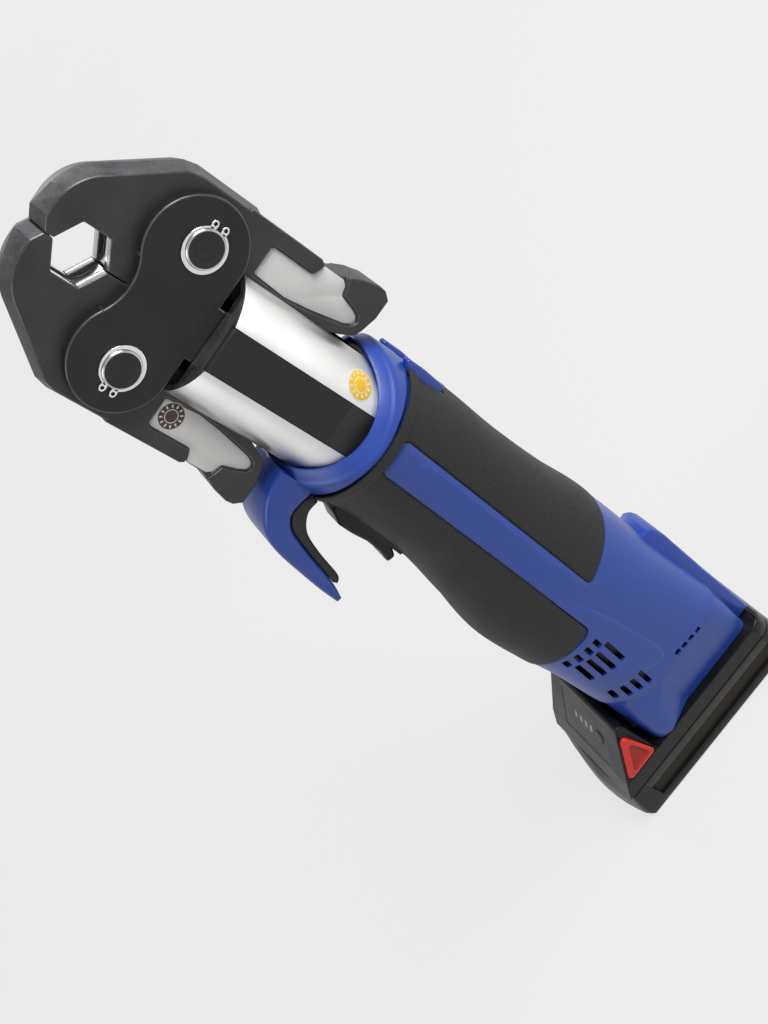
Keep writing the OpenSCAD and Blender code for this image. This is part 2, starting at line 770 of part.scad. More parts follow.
// The skin runs past the split plane, where one straight cut ends it
module handle_skin() {
    past = [0, over, 0];
    points = concat([for (i = [0:last_row], j = [0:last_col])
            skin_point(row_z(i, j), j, is_pad(i, j) ? -pad_t : 0)
                + (j == 0 || j == last_col ? past : [0, 0, 0])],
        [[0, 0, body_top], [0, 0, body_rows[last_row]]]);
    top = index(last_row, last_col) + 1;
    walls = [for (i = [0:last_row - 1], j = [0:last_col - 1]) each
        [[index(i, j + 1), index(i, j), index(i + 1, j)],
            [index(i, j + 1), index(i + 1, j), index(i + 1, j + 1)]]];
    caps = [for (j = [0:last_col - 1]) each
        [[top, index(0, j), index(0, j + 1)], [top + 1, index(last_row, j + 1), index(last_row, j)]]];
    ends = [[top, index(0, last_col), index(0, 0)],
        [top + 1, index(last_row, 0), index(last_row, last_col)]];
    split = [for (i = [0:last_row - 1]) each [[index(i, last_col), index(i + 1, last_col),
        index(i + 1, 0)],
        [index(i, last_col), index(i + 1, 0), index(i, 0)]]];
    polyhedron(points, concat(walls, caps, ends, split));
}
// Rubber grip: the cells of the same skin between the collar, the strip and the pads' rear edges
function is_grip(i, j) = i >= 0 && j >= 0 && i < last_row && j < last_col &&
    is_pad(i, j) && is_pad(i + 1, j) && is_pad(i, j + 1) && is_pad(i + 1, j + 1);
module grip_skin() {
    count = (last_row + 1) * (last_col + 1);
    outer = [for (i = [0:last_row], j = [0:last_col]) skin_point(row_z(i, j), j, pad_rise)];
    inner = [for (i = [0:last_row], j = [0:last_col]) skin_point(row_z(i, j), j, fit_gap - pad_t)];
    faces = [for (i = [0:last_row - 1], j = [0:last_col - 1]) if (is_grip(i, j))
        let (a = index(i, j + 1), b = index(i, j), c = index(i + 1, j),
            d = index(i + 1, j + 1)) each concat(
            [[a, b, c], [a, c, d], [count + c, count + b, count + a], [count + d, count + c, count + a]],
            is_grip(i - 1, j) ? [] : [[b, a, count + b], [a, count + a, count + b]],
            is_grip(i + 1, j) ? [] : [[d, c, count + d], [c, count + c, count + d]],
            is_grip(i, j - 1) ? [] : [[c, b, count + c], [b, count + b, count + c]],
            is_grip(i, j + 1) ? [] : [[a, d, count + a], [d, count + d, count + a]])];
    polyhedron(concat(outer, inner), faces);
}

function guard_points(shares) = [for (s = shares) [-s[0] * guard_reach, guard_top - s[1] * guard_len]];
module guard_outline() {
    polygon(concat(spline(guard_points(guard_out_shares), spline_steps),
        spline(guard_points(guard_in_shares), spline_steps)));
}
module lining_outline() {
    back = guard_points(guard_in_shares);
    near_back = [for (i = [len(back) - 1:-1:1]) back[i] + [lining_gap, -lining_gap]];
    polygon(concat(spline(near_back, spline_steps), spline(guard_points(lining_shares), spline_steps)));
}

// The lining ends at the shell's skin and under the collar
module lining() {
    difference() {
        slab_y(-guard_w / 2, 0) lining_outline();
        translate([pad_t - front_reach - seat_gap, -guard_w, 0])
            cube([front_reach, 2 * guard_w, collar_top]);
        translate([0, 0, body_top + groove_gap - seat_gap])
            cylinder(r = collar_r + seat_gap, h = collar_top);
    }
}

module collar() {
    profile = [[head_r + barrel_gap, body_top - neck_h], [neck_r, body_top - neck_h],
        [neck_r, body_top + groove_gap],
        [collar_r, body_top + groove_gap], [collar_r, collar_top - collar_round],
            [collar_front_r, collar_top],
        [head_r + barrel_gap, collar_top]];
    dip_angle = atan(collar_dip / collar_r);
    difference() {
        rotate_extrude($fn = 128) polygon(profile);
        translate([0, 0, collar_top]) rotate([dip_angle, 0, 0])
            translate([-collar_r - over, -2 * collar_r, 0])
                cube([2 * (collar_r + over), 3 * collar_r, collar_r]);
    }
}
module heel_block() {
    points = [[0, foot_z + groove_gap], [palm_reach * heel_out_shares[0], foot_z + groove_gap],
        [palm_reach * heel_out_shares[2], foot_z * 2],
        [palm_reach * heel_out_shares[1], heel_top - foot_z / 4],
            [palm_reach * heel_out_shares[1], heel_top], [0, heel_top]];
    slab_y(-heel_half, over) polygon(points);
}
module palm_rib() {
    slab_y(-reset_w / 2 - rib_gap - rib_w, -reset_w / 2 - rib_gap)
        polygon([[collar_front_r, body_top - neck_h], [palm_reach + rib_rise, body_top + groove_gap * 2],
            [palm_reach + rib_rise, body_top - rib_w * 2],
            [palm_reach + pad_rise, body_top - rib_len], [head_r, body_top - rib_len]]);
}
module vents() {
    for (i = [0:vent_rows - 1], k = [0:len(vent_lengths) - 1])
        translate([vent_x - i * vent_pitch - vent_w, -half_depth - over,
            vent_top + i * vent_stagger - vent_starts[k] - vent_lengths[k]])
            cube([vent_w, half_depth, vent_lengths[k]]);
    for (i = [0:hole_n - 1])
        translate([hole_x + i * hole_pitch - hole_w / 2, -half_depth - over, hole_z - hole_w / 2])
            cube([hole_w, half_depth, hole_w]);
}
module screw_places() {
    for (p = screw_places_shares)
        translate([p[0] * (p[0] < 0 ? heel_reach : palm_reach), 0, foot_z + p[1] * body_len]) children();
}
// Room inside both shells for the head, the drive, the motor, the fan, the board and the battery's rail
module inner_rooms() {
    translate([0, 0, head_back - head_play]) cylinder(r = head_r + barrel_gap, h = collar_top);
    translate([0, 0, pin_z - head_drop - ring_drop - ring_h - ring_room])
        cylinder(r = head_r + ring_out + slide_gap, h = ring_h + 2 * ring_room);
    translate([0, 0, gear_low - seat_gap]) cylinder(r = gear_r + seat_gap, h = head_back - gear_low);
    translate([0, 0, motor_low - seat_gap]) cylinder(r = motor_r + seat_gap, h = motor_len + over);
    translate([0, 0, fan_top - fan_h - fan_gap]) cylinder(r = fan_r + fan_gap, h = fan_h + 2 * fan_gap);
    translate([room_low_x, -room_half_y, room_low_z])
        cube([room_high_x - room_low_x, room_half_y * 2, room_high_z - room_low_z]);
    translate([duct_x[0], -duct_half_y, room_high_z - over])
        cube([duct_x[1] - duct_x[0], duct_half_y * 2, fan_top - fan_h - room_high_z + over]);
    translate([rail_back - terminal_size[0] - terminal_back - seat_gap, -terminal_size[1] / 2 - seat_gap,
        foot_z + rail_h])
        cube([terminal_size[0] + 2 * seat_gap, terminal_size[1] + 2 * seat_gap,
            terminal_size[2] + rail_gap + seat_gap]);
    translate([-heel_reach - over, -rail_half - rail_lip - rail_gap, foot_z - over])
        cube([heel_reach + over + rail_back + rail_gap, 2 * (rail_half + rail_lip + rail_gap),
            rail_h + rail_gap + over]);
    trigger_room();
    translate([switch_x - seat_gap, -switch_size[1] / 2 - seat_gap,
        switch_top - switch_size[2] - seat_gap])
        cube([switch_size[0] + 2 * seat_gap, switch_size[1] + 2 * seat_gap,
            switch_size[2] + 2 * seat_gap]);
    translate([palm_reach - reset_depth - over, -reset_w / 2 - reset_gap,
        reset_z - reset_len / 2 - reset_gap])
        cube([reset_depth * 2 + over, reset_w + 2 * reset_gap, reset_len + 2 * reset_gap]);
}
module housing_half() {
    difference() {
        union() {
            handle_skin();
            collar();
            heel_block();
            palm_rib();
            slab_y(-guard_w / 2, over) guard_outline();
        }
        translate([-guard_reach - over, 0, 0]) cube([2 * guard_reach, collar_r + over, pin_z]);
        inner_rooms();
        vents();
        trigger_pin_hole(fit_gap / 3);
    }
}
module housing_near() {
    color("#3a4fae") difference() {
        housing_half();
        screw_places() rod_y(screw_r + seat_gap, -screw_len / 2 - seat_gap, over);
    }
}
module housing_far() {
    color("#3a4fae") difference() {
        mirror([0, 1, 0]) housing_half();
        screw_places() {
            rod_y(screw_r + seat_gap, -over, screw_len);
            rod_y(screw_head_r + seat_gap, screw_len / 2, half_depth * 2);
        }
    }
}
module grip_half() {
    difference() {
        grip_skin();
        trigger_room();
        translate([palm_reach - reset_depth - over, -reset_w / 2 - reset_gap,
            reset_z - reset_len / 2 - reset_gap])
            cube([reset_depth * 2 + over, reset_w + 2 * reset_gap, reset_len + 2 * reset_gap]);
        palm_rib();
        slab_y(-guard_w / 2 - seat_gap, over) guard_outline();
        slab_y(-guard_w / 2 - seat_gap, over) lining_outline();
        trigger_pin_hole(seat_gap);
    }
    lining();
}
module grip_near() {
    color("#2e2e2d") grip_half();
}
module grip_far() {
    color("#2e2e2d") mirror([0, 1, 0]) grip_half();
}
module housing_screws() {
    color("gray") screw_places() {
        rod_y(screw_r, -screw_len / 2, screw_len / 2);
        rod_y(screw_head_r, screw_len / 2, screw_len / 2 + screw_head_h);
    }
}

// Trigger: a curved lever on a cross pin, pressed towards the palm at its lower end
trigger_shares = [[0.03, 0.06], [0.27, 0.01], [0.57, 0.06], [0.78, 0.21], [0.81, 0.4], [0.79, 0.62],
    [0.86, 0.83],
    [1, 0.99], [0.76, 1.02], [0.51, 0.87], [0.43, 0.62], [0.39, 0.33], [0.05, 0.21]];
module trigger_room() {
    half = trigger_w / 2 + trigger_gap;
    translate([over * 2 - heel_reach, -half, trigger_top - trigger_len - trigger_sink])
        cube([heel_reach - over * 2 + trigger_pivot_x + trigger_t / 2 + trigger_gap, 2 * half,
            trigger_len + trigger_sink + trigger_gap]);
}
module trigger_pin_hole(play) {
    translate([trigger_pivot_x, 0, trigger_top - trigger_t])
        rod_y(trigger_pin_r + play, -trigger_w * trigger_pin_share - play, over);
}
module trigger() {
    x = trigger_pivot_x + trigger_t / 2;
    color("#2b2b2a") difference() {
        slab_y(-trigger_w / 2, trigger_w / 2)
            polygon([for (q = trigger_shares) [x - q[0] * trigger_reach,
                trigger_top - q[1] * trigger_len]]);
        translate([trigger_pivot_x, 0, trigger_top - trigger_t])
            rod_y(trigger_pin_r + fit_gap, -trigger_w, trigger_w);
    }
}
module trigger_pin() {
    color("silver") translate([trigger_pivot_x, 0, trigger_top - trigger_t])
        rod_y(trigger_pin_r, -trigger_w * trigger_pin_share, trigger_w * trigger_pin_share);
}
module switch_module() {
    color("#3b3b3b") translate([switch_x, -switch_size[1] / 2, switch_top - switch_size[2]])
        cube(switch_size);
}
module reset_button() {
    color("#232323") translate([palm_reach - reset_depth, -reset_w / 2, reset_z - reset_len / 2])
        cube([reset_depth + reset_rise, reset_w, reset_len]);
}
module control_board() {
    color("darkgreen") translate([room_low_x, board_y, board_low]) cube(board_size);
}
module terminal_block() {
    color("#3b3b3b") translate([rail_back - terminal_size[0] - terminal_back, -terminal_size[1] / 2,
        foot_z + rail_h + rail_gap])
        cube([terminal_size[0], terminal_size[1], terminal_size[2]]);
}

// Battery: one side profile and one plan outline give the whole pack, split into case and lid
module battery_side() {
    polygon([[battery_back - battery_chamfer, 0], [battery_back, battery_chamfer],
        [battery_back, lid_z - battery_chamfer],
        [battery_back - battery_chamfer, lid_z], [-gauge_back, lid_z],
            [-gauge_back, gauge_z - battery_chamfer],
        [-gauge_back - battery_chamfer, gauge_z],
            [-gauge_back - gauge_top_w, gauge_z - battery_chamfer / 2],
        [-gauge_mid, lid_z], [-battery_front, gauge_lip_z], [-battery_front, gauge_lip_z / 2],
            [battery_chamfer * 2 - battery_front, 0]]);
}
module battery_plan() {
    hull() for (x = [battery_corner - battery_front, battery_back - battery_corner], y = [-1, 1])
        translate([x, y * (battery_w / 2 - battery_corner)]) circle(battery_corner, $fn = 32);
}
// Slanted sides of the gauge end, moved out by some play
module gauge_sides(play) {
    for (side = [0, 1]) mirror([0, side, 0]) translate([-battery_front - over, -play, 0])
        rotate([90, 0, 90])
        linear_extrude(battery_front + 2 * over - gauge_back)
            polygon([[-battery_w / 2, lid_z], [gauge_taper - battery_w / 2, gauge_z + over],
                [-battery_w, gauge_z + over], [-battery_w, lid_z]]);
}
module battery_pack() {
    difference() {
        intersection() {
            slab_y(-battery_w / 2, battery_w / 2) battery_side();
            linear_extrude(gauge_z + over) battery_plan();
            translate([gauge_bulge_r - battery_front, 0, 0])
                cylinder(r = gauge_bulge_r, h = gauge_z + over, $fn = 128);
        }
        gauge_sides(0);
        for (side = [-1, 1]) translate([-battery_front * groove_shares[0],
            side * battery_w / 2 - groove_depth, groove_band[0]])
            cube([battery_front * groove_shares[0] + battery_back * groove_shares[1], groove_depth * 2,
                groove_band[1]]);
    }
}
module cell_room() {
    width = cell_count * (2 * cell_r + cell_gap) + cell_gap;
    translate([cell_mid - width / 2, -cell_len / 2 - cell_gap, cell_floor])
        cube([width, cell_len + 2 * cell_gap, battery_split]);
}
module battery_case() {
    color("#262624") difference() {
        battery_pack();
        translate([-battery_front - over, -battery_w, battery_split])
            cube([2 * battery_front, 2 * battery_w, gauge_z]);
        cell_room();
    }
}
module latch_outline(grow) {
    offset(r = latch_round + grow, $fn = 24) offset(delta = -latch_round)
        polygon([for (s = latch_shares) [-gauge_back - s[0] * gauge_run, s[1] * gauge_z]]);
}
module panel_place() {
    top = [-gauge_back - gauge_top_w, gauge_z - battery_chamfer / 2];
    low = [-gauge_mid, lid_z];
    slope = atan2(top[1] - low[1], top[0] - low[0]);
    translate([low[0], 0, low[1]]) rotate([0, -slope, 0]) children();
}
panel_run = norm([gauge_mid - gauge_back - gauge_top_w, gauge_z - battery_chamfer / 2 - lid_z]);
module battery_lid() {
    color("#262624") difference() {
        union() {
            difference() {
                battery_pack();
                translate([-battery_front - over, -battery_w, -over])
                    cube([2 * battery_front, 2 * battery_w, battery_split + over]);
            }
            translate([-gauge_back - over, -rail_half, lid_z - over])
                cube([gauge_back + over + rail_back, 2 * rail_half, rail_h + over]);
            translate([-gauge_back - over, -rail_half - rail_lip, lid_z + rail_h / 2])
                cube([gauge_back + over + rail_back, 2 * (rail_half + rail_lip), rail_h / 2]);
        }
        for (side = [0, 1]) mirror([0, side, 0])
            slab_y(-battery_w, latch_deep + gauge_taper / 2 + latch_travel + latch_gap - battery_w / 2)
                latch_outline(latch_gap);
        panel_place() translate([panel_run * panel_from_share, -panel_w / 2, -panel_t])
            cube([panel_run * (panel_to_share - panel_from_share), panel_w, panel_t * 3]);
        panel_place() translate([panel_run * button_share, button_y, -panel_t * 2])
            cylinder(r = button_r + button_gap, h = panel_t * 4);
        translate([rail_back - terminal_blade[0] - over * 2, 0,
            lid_z + rail_h - terminal_blade[2]]) for (i = [-1:terminal_n - 2])
            translate([0, i * terminal_pitch - terminal_blade[1], 0])
                cube([terminal_blade[0] * 2, 2 * terminal_blade[1], terminal_blade[2] * 2]);
    }
}
module latch(side) {
    color("#e23c32") difference() {
        mirror([0, side, 0]) slab_y(-battery_w / 2 - latch_out,
            latch_deep + gauge_taper / 2 - battery_w / 2) latch_outline(0);
        gauge_sides(latch_out);
    }
}
module latch_near() {
    latch(0);
}
module latch_far() {
    latch(1);
}
module gauge_panel() {
    from = panel_run * panel_from_share + seat_gap;
    color("#3a3a38") panel_place() difference() {
        translate([from, -panel_w / 2 + seat_gap, -panel_t + seat_gap])
            cube([panel_run * panel_to_share - seat_gap - from, panel_w - 2 * seat_gap,
                panel_t - 2 * seat_gap]);
        translate([panel_run * button_share, button_y, -panel_t * 2])
            cylinder(r = button_r + button_gap, h = panel_t * 4);
    }
}
module gauge_button() {
    color("#4c4c4a") panel_place() translate([panel_run * button_share, button_y, seat_gap - panel_t])
        cylinder(r = button_r, h = panel_t - seat_gap + button_rise);
}
module battery_cells() {
    width = cell_count * (2 * cell_r + cell_gap) + cell_gap;
    color("steelblue") for (i = [0:cell_count - 1])
        translate([cell_mid - width / 2 + cell_gap + cell_r + i * (2 * cell_r + cell_gap), 0,
            cell_floor + cell_r])
            rod_y(cell_r, -cell_len / 2, cell_len / 2);
}
module battery_terminals() {
    color("goldenrod") translate([rail_back - terminal_blade[0] - over * 2 + seat_gap, 0,
        lid_z + rail_h - terminal_blade[2] + seat_gap])
        for (i = [-1:terminal_n - 2]) translate([0, i * terminal_pitch - terminal_blade[1] / 2, 0])
            cube(terminal_blade);
}

jaw_upper();
jaw_lower();
link_plate_near();
link_plate_far();
jaw_pin_upper();
jaw_pin_lower();
circlips();
jaw_spring();
spring_post();
fork_head();
cover_strip();
head_ring();
retaining_bolt();
bolt_knob();
roller_carriage();
roller_upper();
roller_lower();
roller_pins();
spindle();
spindle_nut();
thrust_bearing();
gearbox_casing();
motor_can();
motor_shaft();
cooling_fan();
housing_near();
housing_far();
grip_near();
grip_far();
housing_screws();
trigger();
trigger_pin();
switch_module();
reset_button();
control_board();
terminal_block();
battery_case();
battery_lid();
latch_near();
latch_far();
gauge_panel();
gauge_button();
battery_cells();
battery_terminals();
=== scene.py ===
"""Looks of an in-line battery press tool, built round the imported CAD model, in metres and in the CAD frame."""
import math

import bmesh
import bpy
import numpy as np
from mathutils import Matrix, Vector
from mathutils.geometry import delaunay_2d_cdt


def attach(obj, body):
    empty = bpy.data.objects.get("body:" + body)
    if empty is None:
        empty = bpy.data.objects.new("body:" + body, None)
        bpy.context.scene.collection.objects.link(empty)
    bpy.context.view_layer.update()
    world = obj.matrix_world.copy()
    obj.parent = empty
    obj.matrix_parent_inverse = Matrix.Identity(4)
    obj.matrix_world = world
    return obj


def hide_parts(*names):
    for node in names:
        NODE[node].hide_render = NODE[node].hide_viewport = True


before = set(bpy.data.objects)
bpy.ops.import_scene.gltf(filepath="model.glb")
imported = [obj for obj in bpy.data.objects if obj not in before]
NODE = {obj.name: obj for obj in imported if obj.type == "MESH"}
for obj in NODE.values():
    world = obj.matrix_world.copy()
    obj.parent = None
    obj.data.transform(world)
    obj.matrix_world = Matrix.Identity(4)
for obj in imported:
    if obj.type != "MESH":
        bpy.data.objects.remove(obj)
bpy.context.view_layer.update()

MM = 0.001
scene = bpy.context.scene
scene.view_settings.view_transform = "Standard"

# ------------------------ camera and light
camera = bpy.data.objects.new("camera", bpy.data.cameras.new("camera"))
scene.collection.objects.link(camera)
scene.camera = camera
camera.data.sensor_width = 36
camera.data.lens = 49.9
camera.data.shift_x = 0.0587
camera.data.shift_y = -0.0165
camera.data.clip_start = 0.01
RIGHT, UP, BACK = (0.58373, -0.42704, -0.69057), (0.80007, 0.44746, 0.39958), (0.13837, -0.78576, 0.60286)
turn = Matrix((RIGHT, UP, BACK)).transposed().to_4x4()
camera.matrix_world = Matrix.Translation((0.05574, -0.51532, 0.69775)) @ turn
AIM = Vector((0, 0, 0.3))


def area_light(name, place, size, power):
    lamp = bpy.data.lights.new(name, "AREA")
    lamp.shape = "RECTANGLE"
    lamp.size, lamp.size_y = size
    lamp.energy = power
    o = bpy.data.objects.new(name, lamp)
    o.location = place
    o.rotation_mode = "QUATERNION"
    o.rotation_quaternion = (AIM - Vector(place)).to_track_quat("-Z", "Y")
    scene.collection.objects.link(o)


area_light("key", (1.05, -0.42, 1.56), (1.2, 0.85), 36)
area_light("front", (-0.3, -2.7, 1.4), (1.6, 1.6), 4)
area_light("rim", (-2.4, -0.9, 1.6), (1.4, 1.6), 20)
area_light("back", (0.3, 2.9, 1.5), (1.6, 1.2), 30)


def feed(tree, sockets, values):
    """Sets sockets, by name or number, to plain values or links them to other sockets."""
    for name, value in values.items():
        if hasattr(value, "links"):
            tree.links.new(value, sockets[name])
        else:
            sockets[name].default_value = value


def node(tree, kind, values, **settings):
    """A new shader node with its inputs fed; gives its outputs."""
    n = tree.nodes.new("ShaderNode" + kind)
    for name, value in settings.items():
        setattr(n, name, value)
    feed(tree, n.inputs, values)
    return n.outputs


def maths(tree, operation, a, b):
    return node(tree, "Math", {0: a, 1: b}, operation=operation)[0]


def seen_rays(tree):
    """1 for rays from the camera and for mirrored or refracted ones, 0 for the light that falls on the part."""
    path = node(tree, "LightPath", {})
    mirrored = maths(tree, "MAXIMUM", path["Is Camera Ray"], path["Is Glossy Ray"])
    return maths(tree, "MAXIMUM", mirrored, path["Is Transmission Ray"])


# strength of the sky as light, in mirrored rays and to the camera, and share of the floor that glows to the camera
FILL, MIRRORED, SHOWN, FLOOR_GLOW = 0.12, 0.42, 0.86, 0.75
world = bpy.data.worlds.new("studio")
scene.world = world
world.use_nodes = True
tree = world.node_tree
sky = tree.nodes["Background"].inputs
level = node(tree, "MapRange", {"To Min": FILL, "To Max": MIRRORED, "Value": seen_rays(tree)})["Result"]
shown = maths(tree, "MULTIPLY", node(tree, "LightPath", {})["Is Camera Ray"], SHOWN)
feed(tree, sky, {"Color": (0.95, 0.97, 1, 1), "Strength": maths(tree, "MAXIMUM", level, shown)})


# ------------------------ materials
def material(name, colour, rough, tint, cloud, grain, metal=0.0, rough_var=0.05, depth=0.05, strength=0.3, speck=0.0,
             coat=0.0, scale=(1, 1, 1), spec=0.5, turned_z=0.0):
    """A procedural finish: tint and gloss in clouds, fine specks and a fine-grained bump."""
    m = bpy.data.materials.new(name)
    m.use_nodes = True
    tree = m.node_tree
    shader = tree.nodes["Principled BSDF"].inputs
    place = node(tree, "Mapping", {"Scale": scale, "Vector": node(tree, "TexCoord", {})["Object"]})["Vector"]

    def noise(size, detail):
        return node(tree, "TexNoise", {"Scale": size, "Detail": detail, "Vector": place})["Fac"]

    def spread(value, low, high):
        return node(tree, "MapRange", {"From Min": 0.3, "From Max": 0.7, "To Min": low, "To Max": high,
                                       "Value": value})["Result"]

    def mixed(kind, factor, a, b):
        return node(tree, "Mix", {0: factor, 6: a, 7: b}, data_type="RGBA", blend_type=kind)[2]

    broad, small = noise(cloud, 5.0), noise(grain, 2.0)
    shade = mixed("MIX", spread(broad, 0, 1), [c * (1 - tint) for c in colour] + [1],
                  [min(1, c * (1 + tint)) for c in colour] + [1])
    if speck:
        shade = mixed("MULTIPLY", 1.0, shade, spread(small, 1 - speck, 1 + speck))
    bump = node(tree, "Bump", {"Strength": strength, "Distance": depth * MM, "Height": small})["Normal"]
    feed(tree, shader, {"Metallic": metal, "Coat Weight": coat, "Coat Roughness": 0.12, "Specular IOR Level": spec,
                        "Base Color": shade, "Roughness": spread(broad, rough - rough_var, rough + rough_var),
                        "Normal": bump})
    if turned_z:
        around = node(tree, "Tangent", {}, direction_type="RADIAL", axis="Z")["Tangent"]
        feed(tree, shader, {"Anisotropic": turned_z, "Anisotropic Rotation": 0.25, "Tangent": around})
    return m


OXIDE = material("black_oxide", (0.044, 0.0442, 0.0432), 0.46, 0.2, 60, 1700, metal=0.3, speck=0.12)
OXIDE_EDGE = material("worn_edge", (0.1, 0.1, 0.103), 0.36, 0.25, 160, 2600, metal=0.7)
# the jaws' walls: their coarse forged grain is real, their lighter colour than the flat faces is a painted highlight
FORGED_AND_LIT = material("forged_side_painted_highlight", (0.088, 0.089, 0.092), 0.5, 0.3, 130, 1100, metal=0.4, depth=0.12, strength=0.5,
                  speck=0.2, scale=(1, 1, 0.35))
LINK = material("blued_plate", (0.015, 0.0155, 0.016), 0.42, 0.2, 45, 1900, metal=0.3, speck=0.1)
DARK_STEEL = material("oiled_steel", (0.03, 0.03, 0.031), 0.5, 0.2, 90, 1500, metal=0.5)
BRIGHT = material("plated_steel", (0.8, 0.79, 0.78), 0.36, 0.05, 26, 420, metal=1.0, rough_var=0.04, depth=0.012,
                  strength=0.2, scale=(0.2, 0.2, 1), turned_z=0.93)
POLISHED = material("polished_profile", (0.9, 0.89, 0.88), 0.2, 0.05, 120, 900, metal=1.0, rough_var=0.03, depth=0.01,
                    strength=0.2)
GROUND = material("ground_steel", (0.6, 0.6, 0.6), 0.28, 0.08, 90, 2200, metal=1.0, depth=0.02)
SPRING = material("spring_steel", (0.8, 0.8, 0.79), 0.2, 0.06, 200, 2600, metal=1.0, depth=0.02)
BLUE = material("blue_plastic", (0.019, 0.066, 0.38), 0.36, 0.06, 25, 2600, depth=0.035, strength=0.25, spec=0.6)
RUBBER = material("grip_rubber", (0.021, 0.021, 0.0205), 0.6, 0.12, 60, 1250, depth=0.3, strength=0.85, speck=0.4,
                  spec=0.4)
BLACK = material("black_plastic", (0.0065, 0.0065, 0.007), 0.36, 0.15, 60, 2300, spec=0.28)
MATT = material("matt_cover", (0.02, 0.02, 0.0195), 0.55, 0.12, 50, 2400, spec=0.35)
GLOSS = material("gloss_plastic", (0.008, 0.008, 0.009), 0.14, 0.1, 60, 1500, depth=0.01, coat=0.4)
REAR = material("rear_panel", (0.027, 0.027, 0.0265), 0.5, 0.1, 50, 2400, spec=0.35)
GREY = material("grey_plastic", (0.017, 0.018, 0.021), 0.38, 0.1, 60, 2300, spec=0.35)
# painted reflection: the olive-brown of the battery's sunk side band stands in for studio reflections on black plastic
BAND_PAINTED_REFLECTION = material("side_band_painted_reflection", (0.019, 0.0145, 0.0075), 0.5, 0.2, 120, 1800, speck=0.15, spec=0.2)
# painted reflection: the lighter olive-grey of the ledge above the sunk band stands in for studio reflections on black
# plastic
LEDGE_PAINTED_REFLECTION = material("side_ledge_painted_reflection", (0.03, 0.029, 0.024), 0.44, 0.15, 120, 1800, speck=0.1, spec=0.3)
MARKS = material("gauge_marks", (0.42, 0.43, 0.45), 0.4, 0.08, 90, 1500, depth=0.01)
RED = material("red_plastic", (0.74, 0.028, 0.018), 0.34, 0.06, 80, 2500, depth=0.03)
# painted shade: a darker copy of the latch's red plastic for its sunk dish
RED_PAINTED_SHADE = material("red_plastic_painted_shade", (0.4, 0.016, 0.009), 0.4, 0.08, 80, 2500, depth=0.03)
LABEL = material("label_film", (0.84, 0.83, 0.81), 0.35, 0.03, 60, 1200, depth=0.01, coat=0.2)
YELLOW = material("yellow_film", (0.95, 0.57, 0.003), 0.38, 0.04, 90, 1200, depth=0.01, coat=0.15)
BROWN = material("brown_print", (0.07, 0.032, 0.02), 0.4, 0.08, 90, 1500, depth=0.01)
WHITE = material("white_print", (0.78, 0.78, 0.77), 0.4, 0.03, 90, 1500, depth=0.01)
BRONZE = material("nut_bronze", (0.55, 0.32, 0.12), 0.3, 0.12, 90, 1800, metal=1.0, depth=0.03)
ALLOY = material("cast_alloy", (0.42, 0.42, 0.43), 0.42, 0.12, 90, 1100, metal=0.9, depth=0.1)
MOTOR = material("motor_can_steel", (0.2, 0.2, 0.21), 0.38, 0.12, 90, 1500, metal=0.9, depth=0.04)
BOARD = material("circuit_board", (0.01, 0.11, 0.045), 0.4, 0.25, 400, 1500, depth=0.04, coat=0.3)
WRAP = material("cell_wrap", (0.03, 0.13, 0.3), 0.28, 0.08, 70, 1500, depth=0.02, coat=0.3)
BRASS = material("contact_brass", (0.7, 0.46, 0.16), 0.26, 0.1, 90, 2000, metal=1.0, depth=0.02)
FLOOR = material("floor", (0.4, 0.4, 0.4), 0.7, 0.006, 3, 60, depth=0.02, strength=0.05, spec=0.2)

# ------------------------ floor
floor_mesh = bpy.data.meshes.new("floor")
floor_mesh.from_pydata([(-6, -6, 0), (6, -6, 0), (6, 6, 0), (-6, 6, 0)], [], [(0, 1, 2, 3)])
floor = bpy.data.objects.new("floor", floor_mesh)
scene.collection.objects.link(floor)
floor.data.materials.append(FLOOR)
tree = FLOOR.node_tree
glow = node(tree, "Emission", {"Color": (0.99, 0.99, 0.99, 1)})[0]
both = node(tree, "MixShader", {0: maths(tree, "MULTIPLY", seen_rays(tree), FLOOR_GLOW),
                                1: tree.nodes["Principled BSDF"].outputs[0], 2: glow})[0]
tree.links.new(both, tree.nodes["Material Output"].inputs["Surface"])


# ------------------------ mesh helpers, lengths in millimetres
def piece(name, verts, faces, mats, body, stands_for=(), angle=32, kinds=None, outward=None, paint=None):
    """A mesh piece from points in millimetres that rides on a body; its faces look away from the point outward."""
    mesh = bpy.data.meshes.new(name)
    mesh.from_pydata([Vector(v) * MM for v in verts], [], faces)
    for m in mats:
        mesh.materials.append(m)
    if kinds:
        mesh.polygons.foreach_set("material_index", kinds)
    bm = bmesh.new()
    bm.from_mesh(mesh)
    bmesh.ops.recalc_face_normals(bm, faces=bm.faces)
    if outward is not None:
        total = sum(f.normal.dot(f.calc_center_median() - Vector(outward) * MM) * f.calc_area() for f in bm.faces)
        if total < 0:
            bmesh.ops.reverse_faces(bm, faces=bm.faces)
    if paint:
        for f in bm.faces:
            f.material_index = paint(f.normal, f.calc_center_median() / MM)
    bm.to_mesh(mesh)
    bm.free()
    dress(name, mesh, body, stands_for, angle)


def dress(name, mesh, body, stands_for, angle):
    mesh.shade_smooth()
    mesh.set_sharp_from_angle(angle=math.radians(angle))
    o = bpy.data.objects.new(name, mesh)
    scene.collection.objects.link(o)
    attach(o, body)
    if stands_for:
        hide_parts(*stands_for)


LARGE_FACE = 40 * MM * MM  # larger faces of an eased piece are shaded flat, polished ones apart


